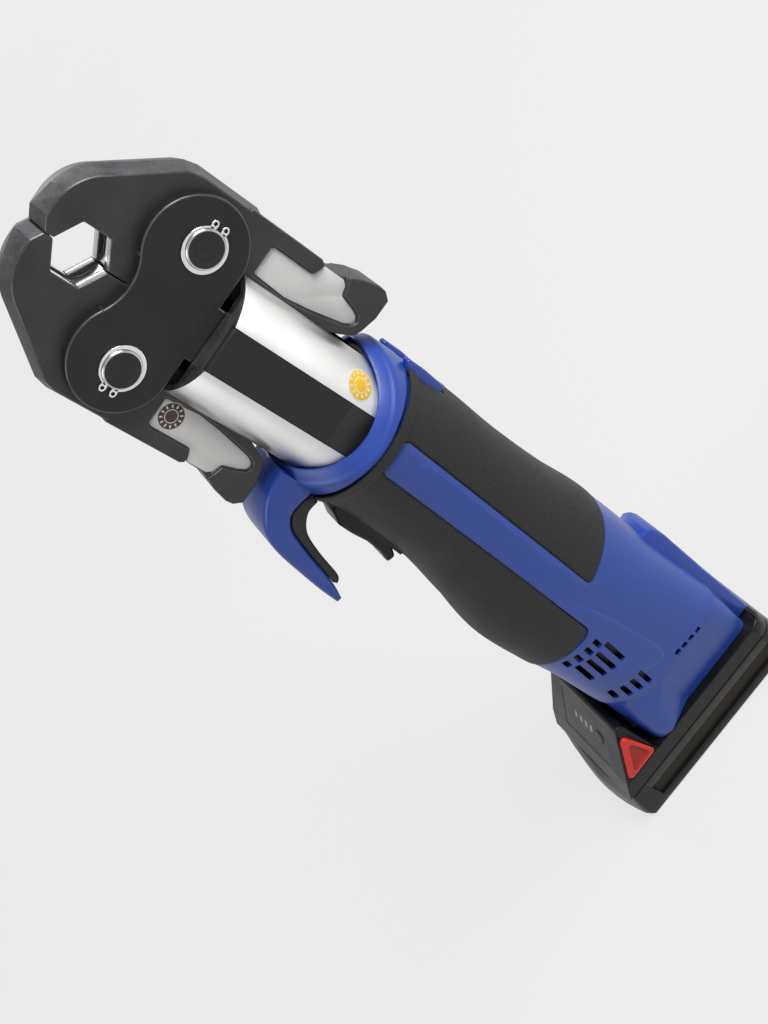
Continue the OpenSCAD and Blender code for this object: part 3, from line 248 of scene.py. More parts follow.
def fine(name, body, mats, width, angle=28, kind=None, steps=2, leave=None):
    """The CAD node again with its edges eased; mats holds the face, the eased edge and any finish that kind picks,
    and leave picks edges, by their middle, that stay sharp."""
    bm = bmesh.new()
    bm.from_mesh(NODE[name].data)
    bmesh.ops.remove_doubles(bm, verts=bm.verts, dist=2e-6)
    bmesh.ops.dissolve_limit(bm, angle_limit=math.radians(0.5), verts=bm.verts, edges=bm.edges)
    for f in bm.faces:
        f.material_index = kind(f.normal, f.calc_center_median() / MM) if kind else 0
    sharp = [e for e in bm.edges if len(e.link_faces) == 2 and e.calc_face_angle(0) > math.radians(angle)]
    if leave:
        sharp = [e for e in sharp if not leave((e.verts[0].co + e.verts[1].co) / 2 / MM)]
    bmesh.ops.bevel(bm, geom=sharp, offset=width * MM, offset_type="OFFSET", segments=steps, profile=0.5,
                    affect="EDGES", clamp_overlap=False, material=1, harden_normals=False)
    mesh = bpy.data.meshes.new(name + "_fine")
    bm.to_mesh(mesh)
    bm.free()
    for m in mats:
        mesh.materials.append(m)
    dress(name + "_fine", mesh, body, (name,), 40)
    for face in mesh.polygons:
        if face.area > LARGE_FACE and face.material_index < 3:
            face.use_smooth = False


def inset(points, d):
    """A closed outline moved inwards by d, one length or one for each point."""
    p = [Vector(q) for q in points]
    n = len(p)
    d = d if isinstance(d, list) else [d] * n
    area = sum(p[i].x * p[(i + 1) % n].y - p[(i + 1) % n].x * p[i].y for i in range(n))
    s = 1 if area > 0 else -1
    out = []
    for i in range(n):
        a, b = (p[i] - p[i - 1]).normalized(), (p[(i + 1) % n] - p[i]).normalized()
        na, nb = Vector((-a.y, a.x)) * s, Vector((-b.y, b.x)) * s
        m = na + nb
        m = m.normalized() if m.length > 1e-6 else na
        out.append(p[i] + m * (d[i] / max(m.dot(na), 0.55)))
    return out


def joined(loops):
    """The points of closed loops in one list, their edges, and the numbers of each loop's points."""
    pts, edges, index = [], [], []
    for loop in loops:
        k = list(range(len(pts), len(pts) + len(loop)))
        pts += [tuple(p) for p in loop]
        edges += zip(k, k[1:] + k[:1])
        index.append(k)
    return pts, edges, index


def triangles(pts, edges, loops, close):
    """Points and triangles inside the first loop and outside the others, and the points that each one came from."""
    made = delaunay_2d_cdt([Vector(p) for p in pts], edges, [], 0, close)
    flat = np.array([tuple(v) for v in made[0]])
    tris = np.array(made[2])
    return flat, tris[within(flat[tris].mean(1), loops)].tolist(), made[3]


def filled(loops):
    """Faces of an outline with holes, as indices into its points."""
    if len(loops) == 1:
        return [list(range(len(loops[0])))]
    pts, edges, _ = joined(loops)
    _, tris, came = triangles(pts, edges, loops, 1e-7)
    return [[came[i][0] for i in t] for t in tris]


def prism(name, outline, low, high, ease, mats, body, stands_for=(), steps=3, place=None, holes=(),
          dish=None, shape=None, ribbon=False, paint=None):
    """An outline in X and Z, drawn out along Y from low to high with eased edges; place maps each point elsewhere.

    dish sinks the low end by (rim, slope, depth) in the second finish, shape gives the outline moved in by a length,
    and a ribbon's ends are filled across from one half of its outline to the other."""
    wide = ease if isinstance(ease, list) else [ease] * len(outline)
    top = max(wide)
    rings = []
    for k in range(steps + 1):
        t = math.pi / 2 * k / steps
        rings.append(([w * (1 - math.sin(t)) for w in wide], low + top * (1 - math.cos(t)), 0))
    rings += [(d, low + high - y, 0) for d, y, _ in reversed(rings)]
    if dish:
        rim, slope, depth = dish
        rings = [([w + rim + slope for w in wide], low + depth, 1), ([w + rim for w in wide], low + 0.001, 0)] + rings
    verts, faces, kinds, spans = [], [], [], []
    loops = [outline, *holes]
    first, last = [], []
    for k, loop in enumerate(loops):
        s, n = len(verts), len(loop)
        for d, y, _ in rings:
            moved = inset(loop, [-0.4 * d[0]] * n) if k else shape(d[0]) if shape else inset(loop, d)
            verts += [(q[0], y, q[1]) for q in moved]
        for r in range(len(rings) - 1):
            for i in range(n):
                j = (i + 1) % n
                faces.append((s + r * n + i, s + r * n + j, s + r * n + n + j, s + r * n + n + i))
                kinds.append(rings[r][2])
        spans.append((len(first), len(first) + n))
        first += list(range(s, s + n))
        last += list(range(len(verts) - n, len(verts)))
    for ends, mark in ((first, rings[0][2]), (last, 0)):
        n = len(ends)
        if ribbon:
            caps = [(i, i + 1, n - 2 - i, n - 1 - i) for i in range(n // 2 - 1)]
        else:
            caps = filled([[(verts[i][0], verts[i][2]) for i in ends[a:b]] for a, b in spans])
        faces += [[ends[i] for i in c] for c in caps]
        kinds += [mark] * len(caps)
    if place:
        verts = [place(Vector(v)) for v in verts]
    piece(name, verts, faces, mats, body, stands_for, 35, kinds=kinds, paint=paint)


def turned(name, profile, centre, mats, body, stands_for, kinds, ring=72):
    """A profile of (radius, Y) points turned about an axis along Y through centre (X, Z), with a finish per band."""
    verts, faces, marks = [], [], []
    n = len(profile)
    for i in range(ring):
        a = 2 * math.pi * i / ring
        verts += [(centre[0] + r * math.cos(a), y, centre[1] + r * math.sin(a)) for r, y in profile]
    for i in range(ring):
        j = (i + 1) % ring
        for k in range(n - 1):
            faces.append((i * n + k, i * n + k + 1, j * n + k + 1, j * n + k))
            marks.append(kinds[k])
    for k in (0, n - 1):
        faces.append([i * n + k for i in range(ring)])
        marks.append(kinds[min(k, n - 2)])
    piece(name, verts, faces, mats, body, stands_for, 30, kinds=marks)


def curve(a, b, c, d, t):
    """A smooth curve from b to c as t goes from 0 to 1, as in the CAD source."""
    return b + (c - a) * t / 2 + (2 * a - 5 * b + 4 * c - d) * t * t / 2 + (3 * b - a - 3 * c + d) * t ** 3 / 2


def spline(p, steps):
    """Points on a smooth curve through p."""
    p = [np.array(q, float) for q in p]
    out = []
    for i in range(len(p) - 1):
        a, b, c, d = p[max(i - 1, 0)], p[i], p[i + 1], p[min(i + 2, len(p) - 1)]
        out += [curve(a, b, c, d, k / steps) for k in range(steps)]
    return out + [p[-1]]


def rounded(corners, steps=6):
    """A closed outline from (u, v, radius) corners, each rounded by its radius."""
    out, n = [], len(corners)
    for i in range(n):
        p, r = Vector(corners[i][:2]), corners[i][2]
        a, b = Vector(corners[i - 1][:2]) - p, Vector(corners[(i + 1) % n][:2]) - p
        if r <= 0:
            out.append(p)
            continue
        half = a.angle(b) / 2
        cut = min(r / math.tan(half), 0.49 * a.length, 0.49 * b.length)
        r = cut * math.tan(half)
        centre = p + (a.normalized() + b.normalized()).normalized() * (r / math.sin(half))
        start, end = p + a.normalized() * cut - centre, p + b.normalized() * cut - centre
        sweep = start.angle_signed(end)
        for k in range(steps + 1):
            t = -sweep * k / steps
            out.append(centre + Vector((start.x * math.cos(t) - start.y * math.sin(t),
                                        start.x * math.sin(t) + start.y * math.cos(t))))
    return out


def circle(r, n=48, at=(0, 0)):
    return [(at[0] + r * math.cos(a), at[1] + r * math.sin(a)) for a in np.linspace(0, 2 * math.pi, n + 1)[:-1]]


# ------------------------ handle surface, by the CAD source's own rows
BODY_TOP, FOOT, WAIST, SWELL, PALM, DEPTH = 317.4, 38.6, 35.6, 20.4, 37.0, 37.5
# share of the height, then trigger side, palm side, depth and roundness
ROWS = [[1, 0.067, 1, 0.965, 2], [0.97, 0.006, 1, 0.935, 2.1], [0.88, 0, 1, 0.895, 2.25],
        [0.737, 0.19, 0.93, 0.88, 2.35], [0.593, 0.616, 0.914, 0.905, 2.4], [0.493, 0.959, 0.95, 0.96, 2.4],
        [0.378, 1, 0.927, 0.985, 2.6], [0.285, 0.945, 0.892, 0.987, 2.9], [0.163, 0.973, 0.892, 0.995, 3.4],
        [0.109, 0.959, 0.892, 1.005, 4.2], [0, 0.904, 0.86, 1.01, 9]]
STRIP_TOP, STRIP_HALF, PALM_END, FINGER_END, PALM_SLANT = 310.6, 8.9, 161.5, 140.0, 9.0
TOP = BODY_TOP - 0.05
RAIL_Y, RAIL_TOP = 23.8, 49.0
STRIP_LOW_X, STRIP_TOP_X = -11.04, 1.3


def strip_mid(z):
    return STRIP_LOW_X + (STRIP_TOP_X - STRIP_LOW_X) * (z - FINGER_END) / (STRIP_TOP - FINGER_END)


def section(z):
    """Middle, half width, depth and roundness of the handle at a height."""
    t = min(max((z - FOOT) / (BODY_TOP - FOOT), 0), 1)
    i = max(k for k in range(len(ROWS) - 1) if ROWS[k][0] >= t)
    a, b, c, d = (np.array(ROWS[min(max(k, 0), len(ROWS) - 1)], float) for k in (i - 1, i, i + 1, i + 2))
    s = curve(a, b, c, d, (b[0] - t) / (b[0] - c[0]))
    low, high = WAIST + s[1] * SWELL, s[2] * PALM
    return (high - low) / 2, (high + low) / 2, s[3] * DEPTH, s[4]


class Chart:
    """The near half of the handle, unrolled: q runs round it from the palm side to the trigger side, with 0 at the
    strip's middle, and z along it."""

    def __init__(self):
        self.z = np.linspace(FOOT, BODY_TOP, 280)
        a = np.linspace(0, math.pi, 361)
        self.q, self.x, self.y = [], [], []
        for z in self.z:
            mid, half, depth, n = section(z)
            c, s = np.cos(a), np.clip(np.sin(a), 0, 1)
            s[0] = s[-1] = 0
            x = mid + half * np.sign(c) * np.abs(c) ** (2 / n)
            y = -depth * s ** (2 / n)
            run = np.concatenate([[0], np.cumsum(np.hypot(np.diff(x), np.diff(y)))])
            self.q.append(run - np.interp(-strip_mid(z), -x, run))
            self.x.append(x)
            self.y.append(y)

    def mixed(self, z, value):
        """A row's value, mixed from the two rows beside z."""
        t = (z - self.z[0]) / (self.z[1] - self.z[0])
        i = int(min(max(t, 0), len(self.z) - 2))
        t -= i
        return (1 - t) * value(i) + t * value(i + 1)

    def ends(self, z):
        return self.mixed(z, lambda i: self.q[i][0]), self.mixed(z, lambda i: self.q[i][-1])

    def at_x(self, x, z):
        return float(self.mixed(z, lambda i: np.interp(-x, -self.x[i], self.q[i])))

    def at_y(self, y, z):
        """The place on the trigger side at a depth y."""
        return float(self.mixed(z, lambda i: np.interp(y, self.y[i][180:], self.q[i][180:])))

    def flat(self, q, z):
        """The point of the surface, without any height."""
        x = self.mixed(z, lambda i: np.interp(q, self.q[i], self.x[i]))
        return np.array([x, self.mixed(z, lambda i: np.interp(q, self.q[i], self.y[i])), z])

    def point(self, q, z, off):
        """The point off above the surface."""
        e = 0.4
        low, high = self.ends(z)
        p = self.flat(q, z)
        across = self.flat(min(q + e, high), z) - self.flat(max(q - e, low), z)
        along = self.flat(q, min(z + e, BODY_TOP)) - self.flat(q, max(z - e, FOOT))
        n = np.cross(along, across)
        if q - low < 0.05 or high - q < 0.05:
            n[1], p[1] = 0, 0
        n /= np.linalg.norm(n) + 1e-12
        if n[0] * p[0] + n[1] * p[1] < 0:
            n = -n
        return p + n * off


CHART = Chart()


def charted(points):
    return [(CHART.at_x(x, z), float(z)) for x, z in points]


def nearest(points, lines):
    """Distance from each point to the nearest of some polylines."""
    p = np.asarray(points, float)
    best = np.full(len(p), 1e9)
    for line in lines:
        line = np.asarray(line, float)
        for a, b in zip(line[:-1], line[1:]):
            d = b - a
            t = np.clip(((p - a) @ d) / max(d @ d, 1e-12), 0, 1)
            best = np.minimum(best, np.hypot(*(p - a - t[:, None] * d).T))
    return best


def inside(points, loop):
    p, loop = np.asarray(points, float), np.asarray(loop, float)
    hit = np.zeros(len(p), bool)
    for a, b in zip(loop, np.roll(loop, -1, 0)):
        if a[1] == b[1]:
            continue
        over = (a[1] > p[:, 1]) != (b[1] > p[:, 1])
        hit ^= over & (p[:, 0] < (b[0] - a[0]) * (p[:, 1] - a[1]) / (b[1] - a[1]) + a[0])
    return hit


def within(points, loops):
    """True for points inside the first loop and outside the other ones."""
    keep = inside(points, loops[0])
    for loop in loops[1:]:
        keep &= ~inside(points, loop)
    return keep


def resample(loop, step):
    out, n = [], len(loop)
    for i in range(n):
        a, b = Vector(loop[i]), Vector(loop[(i + 1) % n])
        k = max(1, round((b - a).length / step))
        out += [a + (b - a) * j / k for j in range(k)]
    return out


class Taken:
    """Points on a coarse grid, to keep new points clear of the old ones."""

    def __init__(self, cell):
        self.cell, self.bins = cell, {}

    def add(self, p):
        self.bins.setdefault((int(p[0] // self.cell), int(p[1] // self.cell)), []).append(p)

    def clear(self, p, gap):
        i, j = int(p[0] // self.cell), int(p[1] // self.cell)
        return all((p[0] - o[0]) ** 2 + (p[1] - o[1]) ** 2 >= gap * gap for a in (i - 1, i, i + 1)
                   for b in (j - 1, j, j + 1) for o in self.bins.get((a, b), ()))


def patch(loops, spacing, extra, rings=(0.35, 0.8, 1.5)):
    """Points, triangles and loop indices of a region of the chart, with extra rows of points beside its loops."""
    loops = [resample(loop, 1.2) for loop in loops]
    pts, edges, index = joined(loops)
    lo, hi = np.min(pts, 0), np.max(pts, 0)
    cand = [[tuple(p) for p in resample(line, 0.9)[:-1]] for line in extra]
    for k, loop in enumerate(loops):
        for d in rings:
            cand.append([tuple(p) for p in inset(loop, d if k == 0 else -d)])
    grid = [(u + (j % 2) * spacing / 2, v) for j, v in enumerate(np.arange(lo[1] + spacing / 2, hi[1], spacing * 0.87))
            for u in np.arange(lo[0], hi[0], spacing)]
    taken = Taken(spacing)
    for p in pts:
        taken.add(p)
    closed = [np.array([*loop, loop[0]]) for loop in loops]
    for n, group in enumerate([*cand, grid]):
        group = np.array(group)
        keep = within(group, loops)
        gap = 0.24 if n < len(cand) else spacing * 0.5
        keep &= nearest(group, closed) > 0.22
        for p in group[keep].tolist():
            if taken.clear(p, gap):
                taken.add(p)
                pts.append(tuple(p))
    flat, tris, came = triangles(pts, edges, loops, 1e-5)
    back = {o: i for i, group in enumerate(came) for o in group}
    return flat, tris, [[back[i] for i in loop] for loop in index]


def ramp(d, width):
    t = np.clip(d / width, 0, 1)
    return t * t * (3 - 2 * t)


def shell(name, loops, spacing, extra, height, sink, mats, far, stands_for=(), straight=False):
    """A skin over a region of the chart, height above the handle's surface, with its rims turned in by sink."""
    flat, tris, index = patch(loops, spacing, extra)
    up = height(flat)
    verts, faces = [CHART.point(q, z, h) for (q, z), h in zip(flat, up)], list(tris)
    for k, loop in enumerate(index):
        s = len(verts)
        for i in loop:
            q, z = flat[i]
            verts.append(verts[i] + np.array([0, 1.8, 0]) if straight and k else CHART.point(q, z, up[i] - sink))
        m = len(loop)
        faces += [(loop[i], loop[(i + 1) % m], s + (i + 1) % m, s + i) for i in range(m)]
    if far:
        verts = [(v[0], -v[1], v[2]) for v in verts]
    piece(name, verts, faces, mats, "housing", stands_for, 38, outward=(0, 0, 180))


# ------------------------ handle: blue shell, strip and rubber pads
def strip_edge(z, side, half=STRIP_HALF):
    return CHART.at_x(strip_mid(z) + side * half, z)


def palm(z, d=0.0):
    return float(CHART.ends(z)[0] + d)


def trig(z, d=0.0):
    return float(CHART.ends(z)[1] - d)


def beside(line, d):
    """A line beside a line, to carry a step."""
    out = []
    for i, p in enumerate(line):
        a, b = Vector(line[max(i - 1, 0)]), Vector(line[min(i + 1, len(line) - 1)])
        t = (b - a).normalized()
        out.append((p[0] - t.y * d, p[1] + t.x * d))
    return out


STRIP_FACE, STEP_HALF = 8.4, 6.9
show_z = np.linspace(STRIP_TOP - 0.4, 120, 60)
strip_loop = rounded([(strip_edge(STRIP_TOP - 0.4, 1, STRIP_FACE), STRIP_TOP - 0.4, 4),
                      (strip_edge(STRIP_TOP - 0.4, -1, STRIP_FACE), STRIP_TOP - 0.4, 4)]
                     + [(strip_edge(z, -1, STRIP_FACE), z, 0) for z in show_z[4:]]
                     + [(strip_edge(z, 1, STRIP_FACE), z, 0) for z in show_z[:3:-1]])
step_z = np.linspace(STRIP_TOP - 13, 120, 50)
step_loop = ([(strip_edge(STRIP_TOP - d, side, half), STRIP_TOP - d)
              for d, side, half in ((17, 1, STEP_HALF), (13.5, 1, 1.5), (11, -1, 3.5), (10, -1, 6.6))]
             + [(strip_edge(z, -1, STEP_HALF), z) for z in step_z[2:]]
             + [(strip_edge(z, 1, STEP_HALF), z) for z in step_z[:2:-1]])
crease = charted(spline([(-14.6, 190), (-11.9, 165), (-9.4, 142), (-8.5, 118), (-8.2, 100), (-8.6, 89.5), (-10.6, 84.2),
                         (-15.5, 82.6), (-20.5, 84.2), (-27, 88), (-36, 92)], 6))
crease_loop = crease + [(200.0, 92.0), (200.0, 190.0)]
FOOT_X = [-60, -47, -39.9, -30.7, -23.6, -11.7, -7, 9.6, 26, 40]
FOOT_Z = [83, 81, 78, 75, 72.4, 74.2, 74, 73, 70.5, 70]
foot_line = charted((x, np.interp(x, FOOT_X, FOOT_Z)) for x in np.linspace(-53, 30, 90))
FOOT_LOW = 41
FOLD = [(-26.2, 66), (-26, FOOT_LOW)]
RIDGE = [(-27.2, 67), (-52.2, 45)]
folds = [charted((a[0] + (b[0] - a[0]) * t, a[1] + (b[1] - a[1]) * t) for t in np.linspace(0, 1, 30))
         for a, b in (FOLD, RIDGE)]

# x, top and length
VENTS = [(-24, 135, 7), (-29.9, 135.2, 7), (-36.2, 135.6, 7), (-42.4, 136, 6.6),
         (-22.9, 126.6, 19), (-29.6, 126.4, 19), (-35.4, 126.6, 18.4), (-41.6, 127.4, 17.4),
         (-26.5, 91.5, 13.5), (-32.4, 91.5, 12), (-38.4, 92.4, 11), (-44.2, 94.6, 9)]
openings = []
for x0, top, length in VENTS:
    lean = 0.13 * length
    box = rounded([(x0 - 1.5 - lean / 2, top - length, 0.7), (x0 + 1.5 - lean / 2, top - length, 0.7),
                   (x0 + 1.5 + lean / 2, top, 0.7), (x0 - 1.5 + lean / 2, top, 0.7)], 3)
    openings.append(charted(box))
for x0, z0 in ((-5.8, 76), (-0.8, 75.2), (4.5, 74.3), (9.7, 73.2)):
    box = rounded([(x0 + a * 1.75, z0 + b * 1.75, 0.45) for a, b in ((-1, -1), (1, -1), (1, 1), (-1, 1))], 3)
    openings.append(charted(box))
SCREWS = ((-48.16, 108.3), (-48.16, 58.1), (24.05, 59.5), (24.05, 113.9))
SEAT_R, WELL_R = 4.1, 4.7
screw_seats = [charted(circle(SEAT_R, 24, at)) for at in SCREWS]

shell_loop = ([(palm(z), z) for z in np.linspace(FOOT, 286.7, 90)]
              + [(palm(286.7, 7.8), 286.7), (palm(307.3, 7.8), 307.3)]
              + [(palm(z), z) for z in np.linspace(307.3, TOP, 5)] + [(trig(z), z) for z in np.linspace(TOP, 300.5, 8)]
              + [(trig(300.5, 8), 300.5)] + [(trig(z, 8), z) for z in np.linspace(298, 252, 20)] + [(trig(249, 8), 249)]
              + [(trig(z), z) for z in np.linspace(249, RAIL_TOP + 0.3, 72)]
              + [(CHART.at_y(-RAIL_Y - 0.2, z), z) for z in np.linspace(RAIL_TOP + 0.3, FOOT, 6)])
PAD_GAP = 0.4
pad_loop = ([(palm(z), z, 0) for z in np.linspace(PALM_END + PALM_SLANT, 292.8, 45)]
            + [(palm(292.8, 14.3), 292.8, 0.8), (palm(TOP, 14.3), TOP, 0)]
            + [(trig(z), z, 0) for z in np.linspace(TOP, 301, 8)]
            + [(trig(301, 8.5), 301, 1)] + [(trig(z, 8.5), z, 0) for z in np.linspace(298, 252, 20)]
            + [(trig(248.4, 8.5), 248.4, 1)] + [(trig(z), z, 0) for z in np.linspace(248.4, FINGER_END - 3, 40)]
            + [(CHART.at_x(-34, FINGER_END - 0.2), FINGER_END - 0.2, 12)]
            + [(strip_edge(FINGER_END + 1, -1), FINGER_END + 1, 6)]
            + [(strip_edge(z, -1), z, 0) for z in np.linspace(FINGER_END + 12, STRIP_TOP - 10, 56)]
            + [(strip_edge(STRIP_TOP, -1), STRIP_TOP, 4.2), (strip_edge(STRIP_TOP, 1), STRIP_TOP, 4.2)]
            + [(strip_edge(z, 1), z, 0) for z in np.linspace(STRIP_TOP - 10, PALM_END + 10, 46)]
            + [(strip_edge(PALM_END, 1), PALM_END, 3.2)])
pad_outline = rounded(pad_loop)


def pad_edges():
    """The pad's own edges, without the seam lines where it runs on to the other half."""
    lines, line = [], []
    for i, a in enumerate(pad_outline):
        b = pad_outline[(i + 1) % len(pad_outline)]
        on_seam = all(abs(p[0] - palm(p[1])) < 0.2 or abs(p[0] - trig(p[1])) < 0.2 or p[1] > TOP - 0.1 for p in (a, b))
        if on_seam:
            lines += [line] if line else []
            line = []
        else:
            line = line or [tuple(a)]
            line.append(tuple(b))
    return lines + ([line] if line else [])


PAD_EDGES = pad_edges()


def pad_height(flat):
    t = 1 - np.clip((nearest(flat, PAD_EDGES) - PAD_GAP) / 1.2, 0, 1)
    lip = ramp(flat[:, 1] - STRIP_TOP, 1.6)
    return -0.5 + 1.15 * np.sqrt(1 - t * t) + 1.5 * lip


def foot_height(flat, x):
    """The foot band leans in, and folds out again to the corner at the trigger side."""
    z = flat[:, 1]
    line = np.interp(x, FOOT_X, FOOT_Z)
    down = np.clip((line - z) / (line - FOOT_LOW), 0, 1)
    lean = -ramp(line - z, 1.2) - 3.6 * down
    far = np.clip((-27.2 - x) / 25, 0, 1)
    ridge_z, ridge_h = 67 - 22 * far, -1.3 + 2.0 * far
    low_h = -4.6 + 5.4 * np.clip((-26 - x) / 18, 0, 1)
    upper = -1.3 * ramp(line - z, 3.0) + (ridge_h + 1.3) * np.clip((line - 3 - z) / (line - 3 - ridge_z), 0, 1)
    lower = ridge_h + (low_h - ridge_h) * np.clip((ridge_z - z) / (ridge_z - FOOT_LOW), 0, 1)
    fold = np.where(z > ridge_z, upper, lower)
    blend = np.clip((-24.5 - x) / 2.5, 0, 1)
    return np.where(z < line, lean * (1 - blend) + fold * blend, 0)


def shell_height(flat):
    """The strip and the vent side stand up, the pads' pockets and the foot lie lower."""
    z = flat[:, 1]
    x = np.array([CHART.flat(q, v)[0] for q, v in flat])
    strip = ramp(nearest(flat, [strip_loop + strip_loop[:1]]), 0.9) * inside(flat, strip_loop) * ramp(z - 150, 22)
    step = ramp(nearest(flat, [step_loop + step_loop[:1]]), 0.5) * inside(flat, step_loop) * ramp(z - 160, 50)
    side = ramp(STEP_HALF - flat[:, 0], 14)
    vent = ramp(nearest(flat, [crease]), 1.5) * inside(flat, crease_loop) * ramp(192 - z, 22) * (1 - ramp(-x - 27, 16))
    pocket = ramp(nearest(flat, PAD_EDGES), 0.3) * inside(flat, pad_outline)
    raised = np.maximum(0.7 * strip, 0.7 * vent) + 0.5 * step * side
    return raised * (1 - pocket) + foot_height(flat, x) - 1.3 * pocket


steps = [beside(line, d) for line in PAD_EDGES for d in (-0.02, 0.28, -0.28)]
steps += [beside(line + line[:1], d) for line, offs in ((strip_loop, (0.02, 0.5, 0.95, -0.5, -0.95)),
                                                        (step_loop, (0.02, 0.28, 0.55, -0.28, -0.55))) for d in offs]
steps += [beside(crease, d) for d in (0.0, 0.5, 1.0, 1.5, -0.5, -1.0, -1.5)]
steps += [beside(foot_line, d) for d in (0.0, 0.4, 0.8, 1.2, 1.8, 3.0, -0.4, -0.8, -1.2, -1.8, -3.0)]
steps += [beside(line, d) for line in folds for d in (0.0, 0.7, -0.7)]
lip_lines = [[(float(q), z) for q in np.linspace(-85, 85, 150)] for z in (310.4, 310.9, 311.4, 311.9, 312.4, 314.0)]
pad_rings = (0.1 + PAD_GAP, 0.75, 1.15, 1.6, 2.4)
# painted shade: a black sheet 3.4 mm under the vent openings stands in for the dark inside of the housing
vent_shade = charted([(-51, 139), (-18, 139), (-18, 80), (14, 80), (14, 68), (-12, 68), (-24, 74), (-51, 74)])
for far in (False, True):
    end = "far" if far else "near"
    shell("shell_" + end, [shell_loop, *openings, *(screw_seats if far else [])], 3.0, steps, shell_height, 3.0,
          [BLUE], far, ("housing_" + end,), straight=True)
    shell("pad_" + end, [pad_outline], 2.6, lip_lines + [beside(line, s * d) for line in PAD_EDGES for d in pad_rings
                                                        for s in (1, -1)],
          pad_height, 0.9, [RUBBER], far, ("grip_" + end,))

    for i, at in enumerate(SCREWS if far else ()):
        rim = circle(WELL_R, 32, at)
        skin = min(-CHART.point(q, z, -2.4)[1] for q, z in charted(rim))
        prism("screw_well_%d" % (i + 1), rim, 12.5, skin, 0.1, [BLUE], "housing", steps=2,
              holes=[circle(SEAT_R, 32, at)])
    # the black sheet under the vents is painted shade in the openings
    shell("vent_painted_shade_" + end, [vent_shade], 5.0, [], lambda flat: np.full(len(flat), -3.4), 0.4, [BLACK], far)

# ------------------------ collar, ribs, heel, guard and its lining
COLLAR_TOP, CREST_DROP, CREST_EASE, CREST_RISE = 340.6, 13.5, 0.2, 0.82
profile = [(31.25, -1.6), (31.45, -0.7), (32.0, -0.15), (32.7, -0.1), (33.2, -0.6), (35.3, -4.3), (36.1, -5.6),
           (36.75, -6.3), (37.2, -7.3), (37.4, -8.6), (37.4, -9.6)]
verts, faces, ring = [], [], 145
for i in range(ring):
    a = 2 * math.pi * i / (ring - 1)
    drop = CREST_DROP * (math.hypot(math.sin(a), CREST_EASE) - CREST_EASE) / CREST_RISE
    column = [(31.3, 317.0)] + [(r, COLLAR_TOP - drop + z) for r, z in profile]
    column += [(37.4, 318.9), (37.1, 318.25), (36.5, 318.0), (31.6, 318.0)]
    verts += [(r * math.cos(a), r * math.sin(a), z) for r, z in column]
wide = len(verts) // ring
for i in range(ring - 1):
    faces += [(i * wide + k, i * wide + k + 1, (i + 1) * wide + k + 1, (i + 1) * wide + k) for k in range(wide - 1)]
piece("collar", verts, faces, [BLUE], "housing", angle=24)

rib = [(33.4, 316.5), (38.0, 319.3), (39.2, 318.4), (39.2, 307.4), (38.2, 296), (37.6, 293.4), (31, 293.4)]
SIDES = (("near", -1), ("far", 1))
for end, side in SIDES:
    low, high = sorted((side * 8.9, side * 13.9))
    prism("palm_rib_" + end, rib, low, high, 1.2, [BLUE], "housing")
heel = [(22, 39.2), (35.4, 39.2), (37.6, 77.2), (39.6, 104), (40.1, 109.5), (40.1, 115.5), (39.1, 120.5), (36.6, 124),
        (22, 124)]


def heel_place(v):
    return Vector((v.x, v.y / 11 * (11 + 17 * (1 - min(max((v.z - 39) / 82, 0), 1)) ** 1.2), v.z))


prism("heel_block", resample(heel, 6), -11, 11, 1.8, [BLUE], "housing", place=heel_place)


GUARD_WIDTH, GUARD_TOP, GUARD_HEIGHT = 75, 337, 76


def guard(shares):
    """Points from shares of the guard's width and height."""
    return [(-s * GUARD_WIDTH, GUARD_TOP - t * GUARD_HEIGHT) for s, t in shares]


GUARD_OUT = guard([(0.43, -0.045), (0.6, -0.015), (0.72, 0.05), (0.82, 0.15), (0.885, 0.3), (0.935, 0.54),
                   (0.975, 0.77), (0.992, 0.925)])
GUARD_IN = guard([(0.955, 0.935), (0.893, 0.8), (0.8, 0.5), (0.73, 0.31), (0.66, 0.23), (0.58, 0.215), (0.44, 0.25)])
LINING = guard([(0.885, 0.835), (0.835, 0.8), (0.773, 0.6), (0.71, 0.434), (0.65, 0.355), (0.57, 0.31), (0.49, 0.32)])


def band(outer, inner, most):
    """An outline between two curves, with an easing that suits its thickness at each point."""
    a, b = [tuple(p) for p in spline(outer, 8)], [tuple(p) for p in spline(inner, 8)]
    ease = [min(most, 0.4 * t) for t in [*nearest(a, [b]), *nearest(b, [a])]]
    return a + b, ease


def guard_place(v):
    return Vector((v.x, v.y / 15 * (12 + 3 * min(max((v.z - 267) / 55, 0), 1)), v.z))


outline, ease = band(GUARD_OUT, GUARD_IN, 2.8)
prism("finger_guard", outline, -15, 15, ease, [BLUE], "housing", steps=5, place=guard_place,
      ribbon=True)
back = [(x + 0.1, z - 0.1) for x, z in GUARD_IN[:0:-1]]
back[0] = (-34.6, 317.6)
outline, ease = band(back, LINING, 1.6)
prism("guard_lining", outline, -14.4, 14.4, ease, [RUBBER], "housing", steps=4, place=guard_place,
      ribbon=True)

# ------------------------ trigger well, foot plate and battery rail
well = rounded([(-40, 250, 1), (-28.6, 250, 1), (-28.6, 299.6, 1), (-35, 299.6, 1)], 3)
for end, side in SIDES:
    low, high = sorted((side * 8.1, side * 9.0))
    prism("trigger_well_" + end, well, low, high, 0.2, [BLACK], "housing")
prism("trigger_well_back", [(-28.6, 249.6), (-27.7, 249.6), (-27.7, 300.2), (-28.6, 300.2)], -9, 9, 0.1, [BLACK],
      "housing")

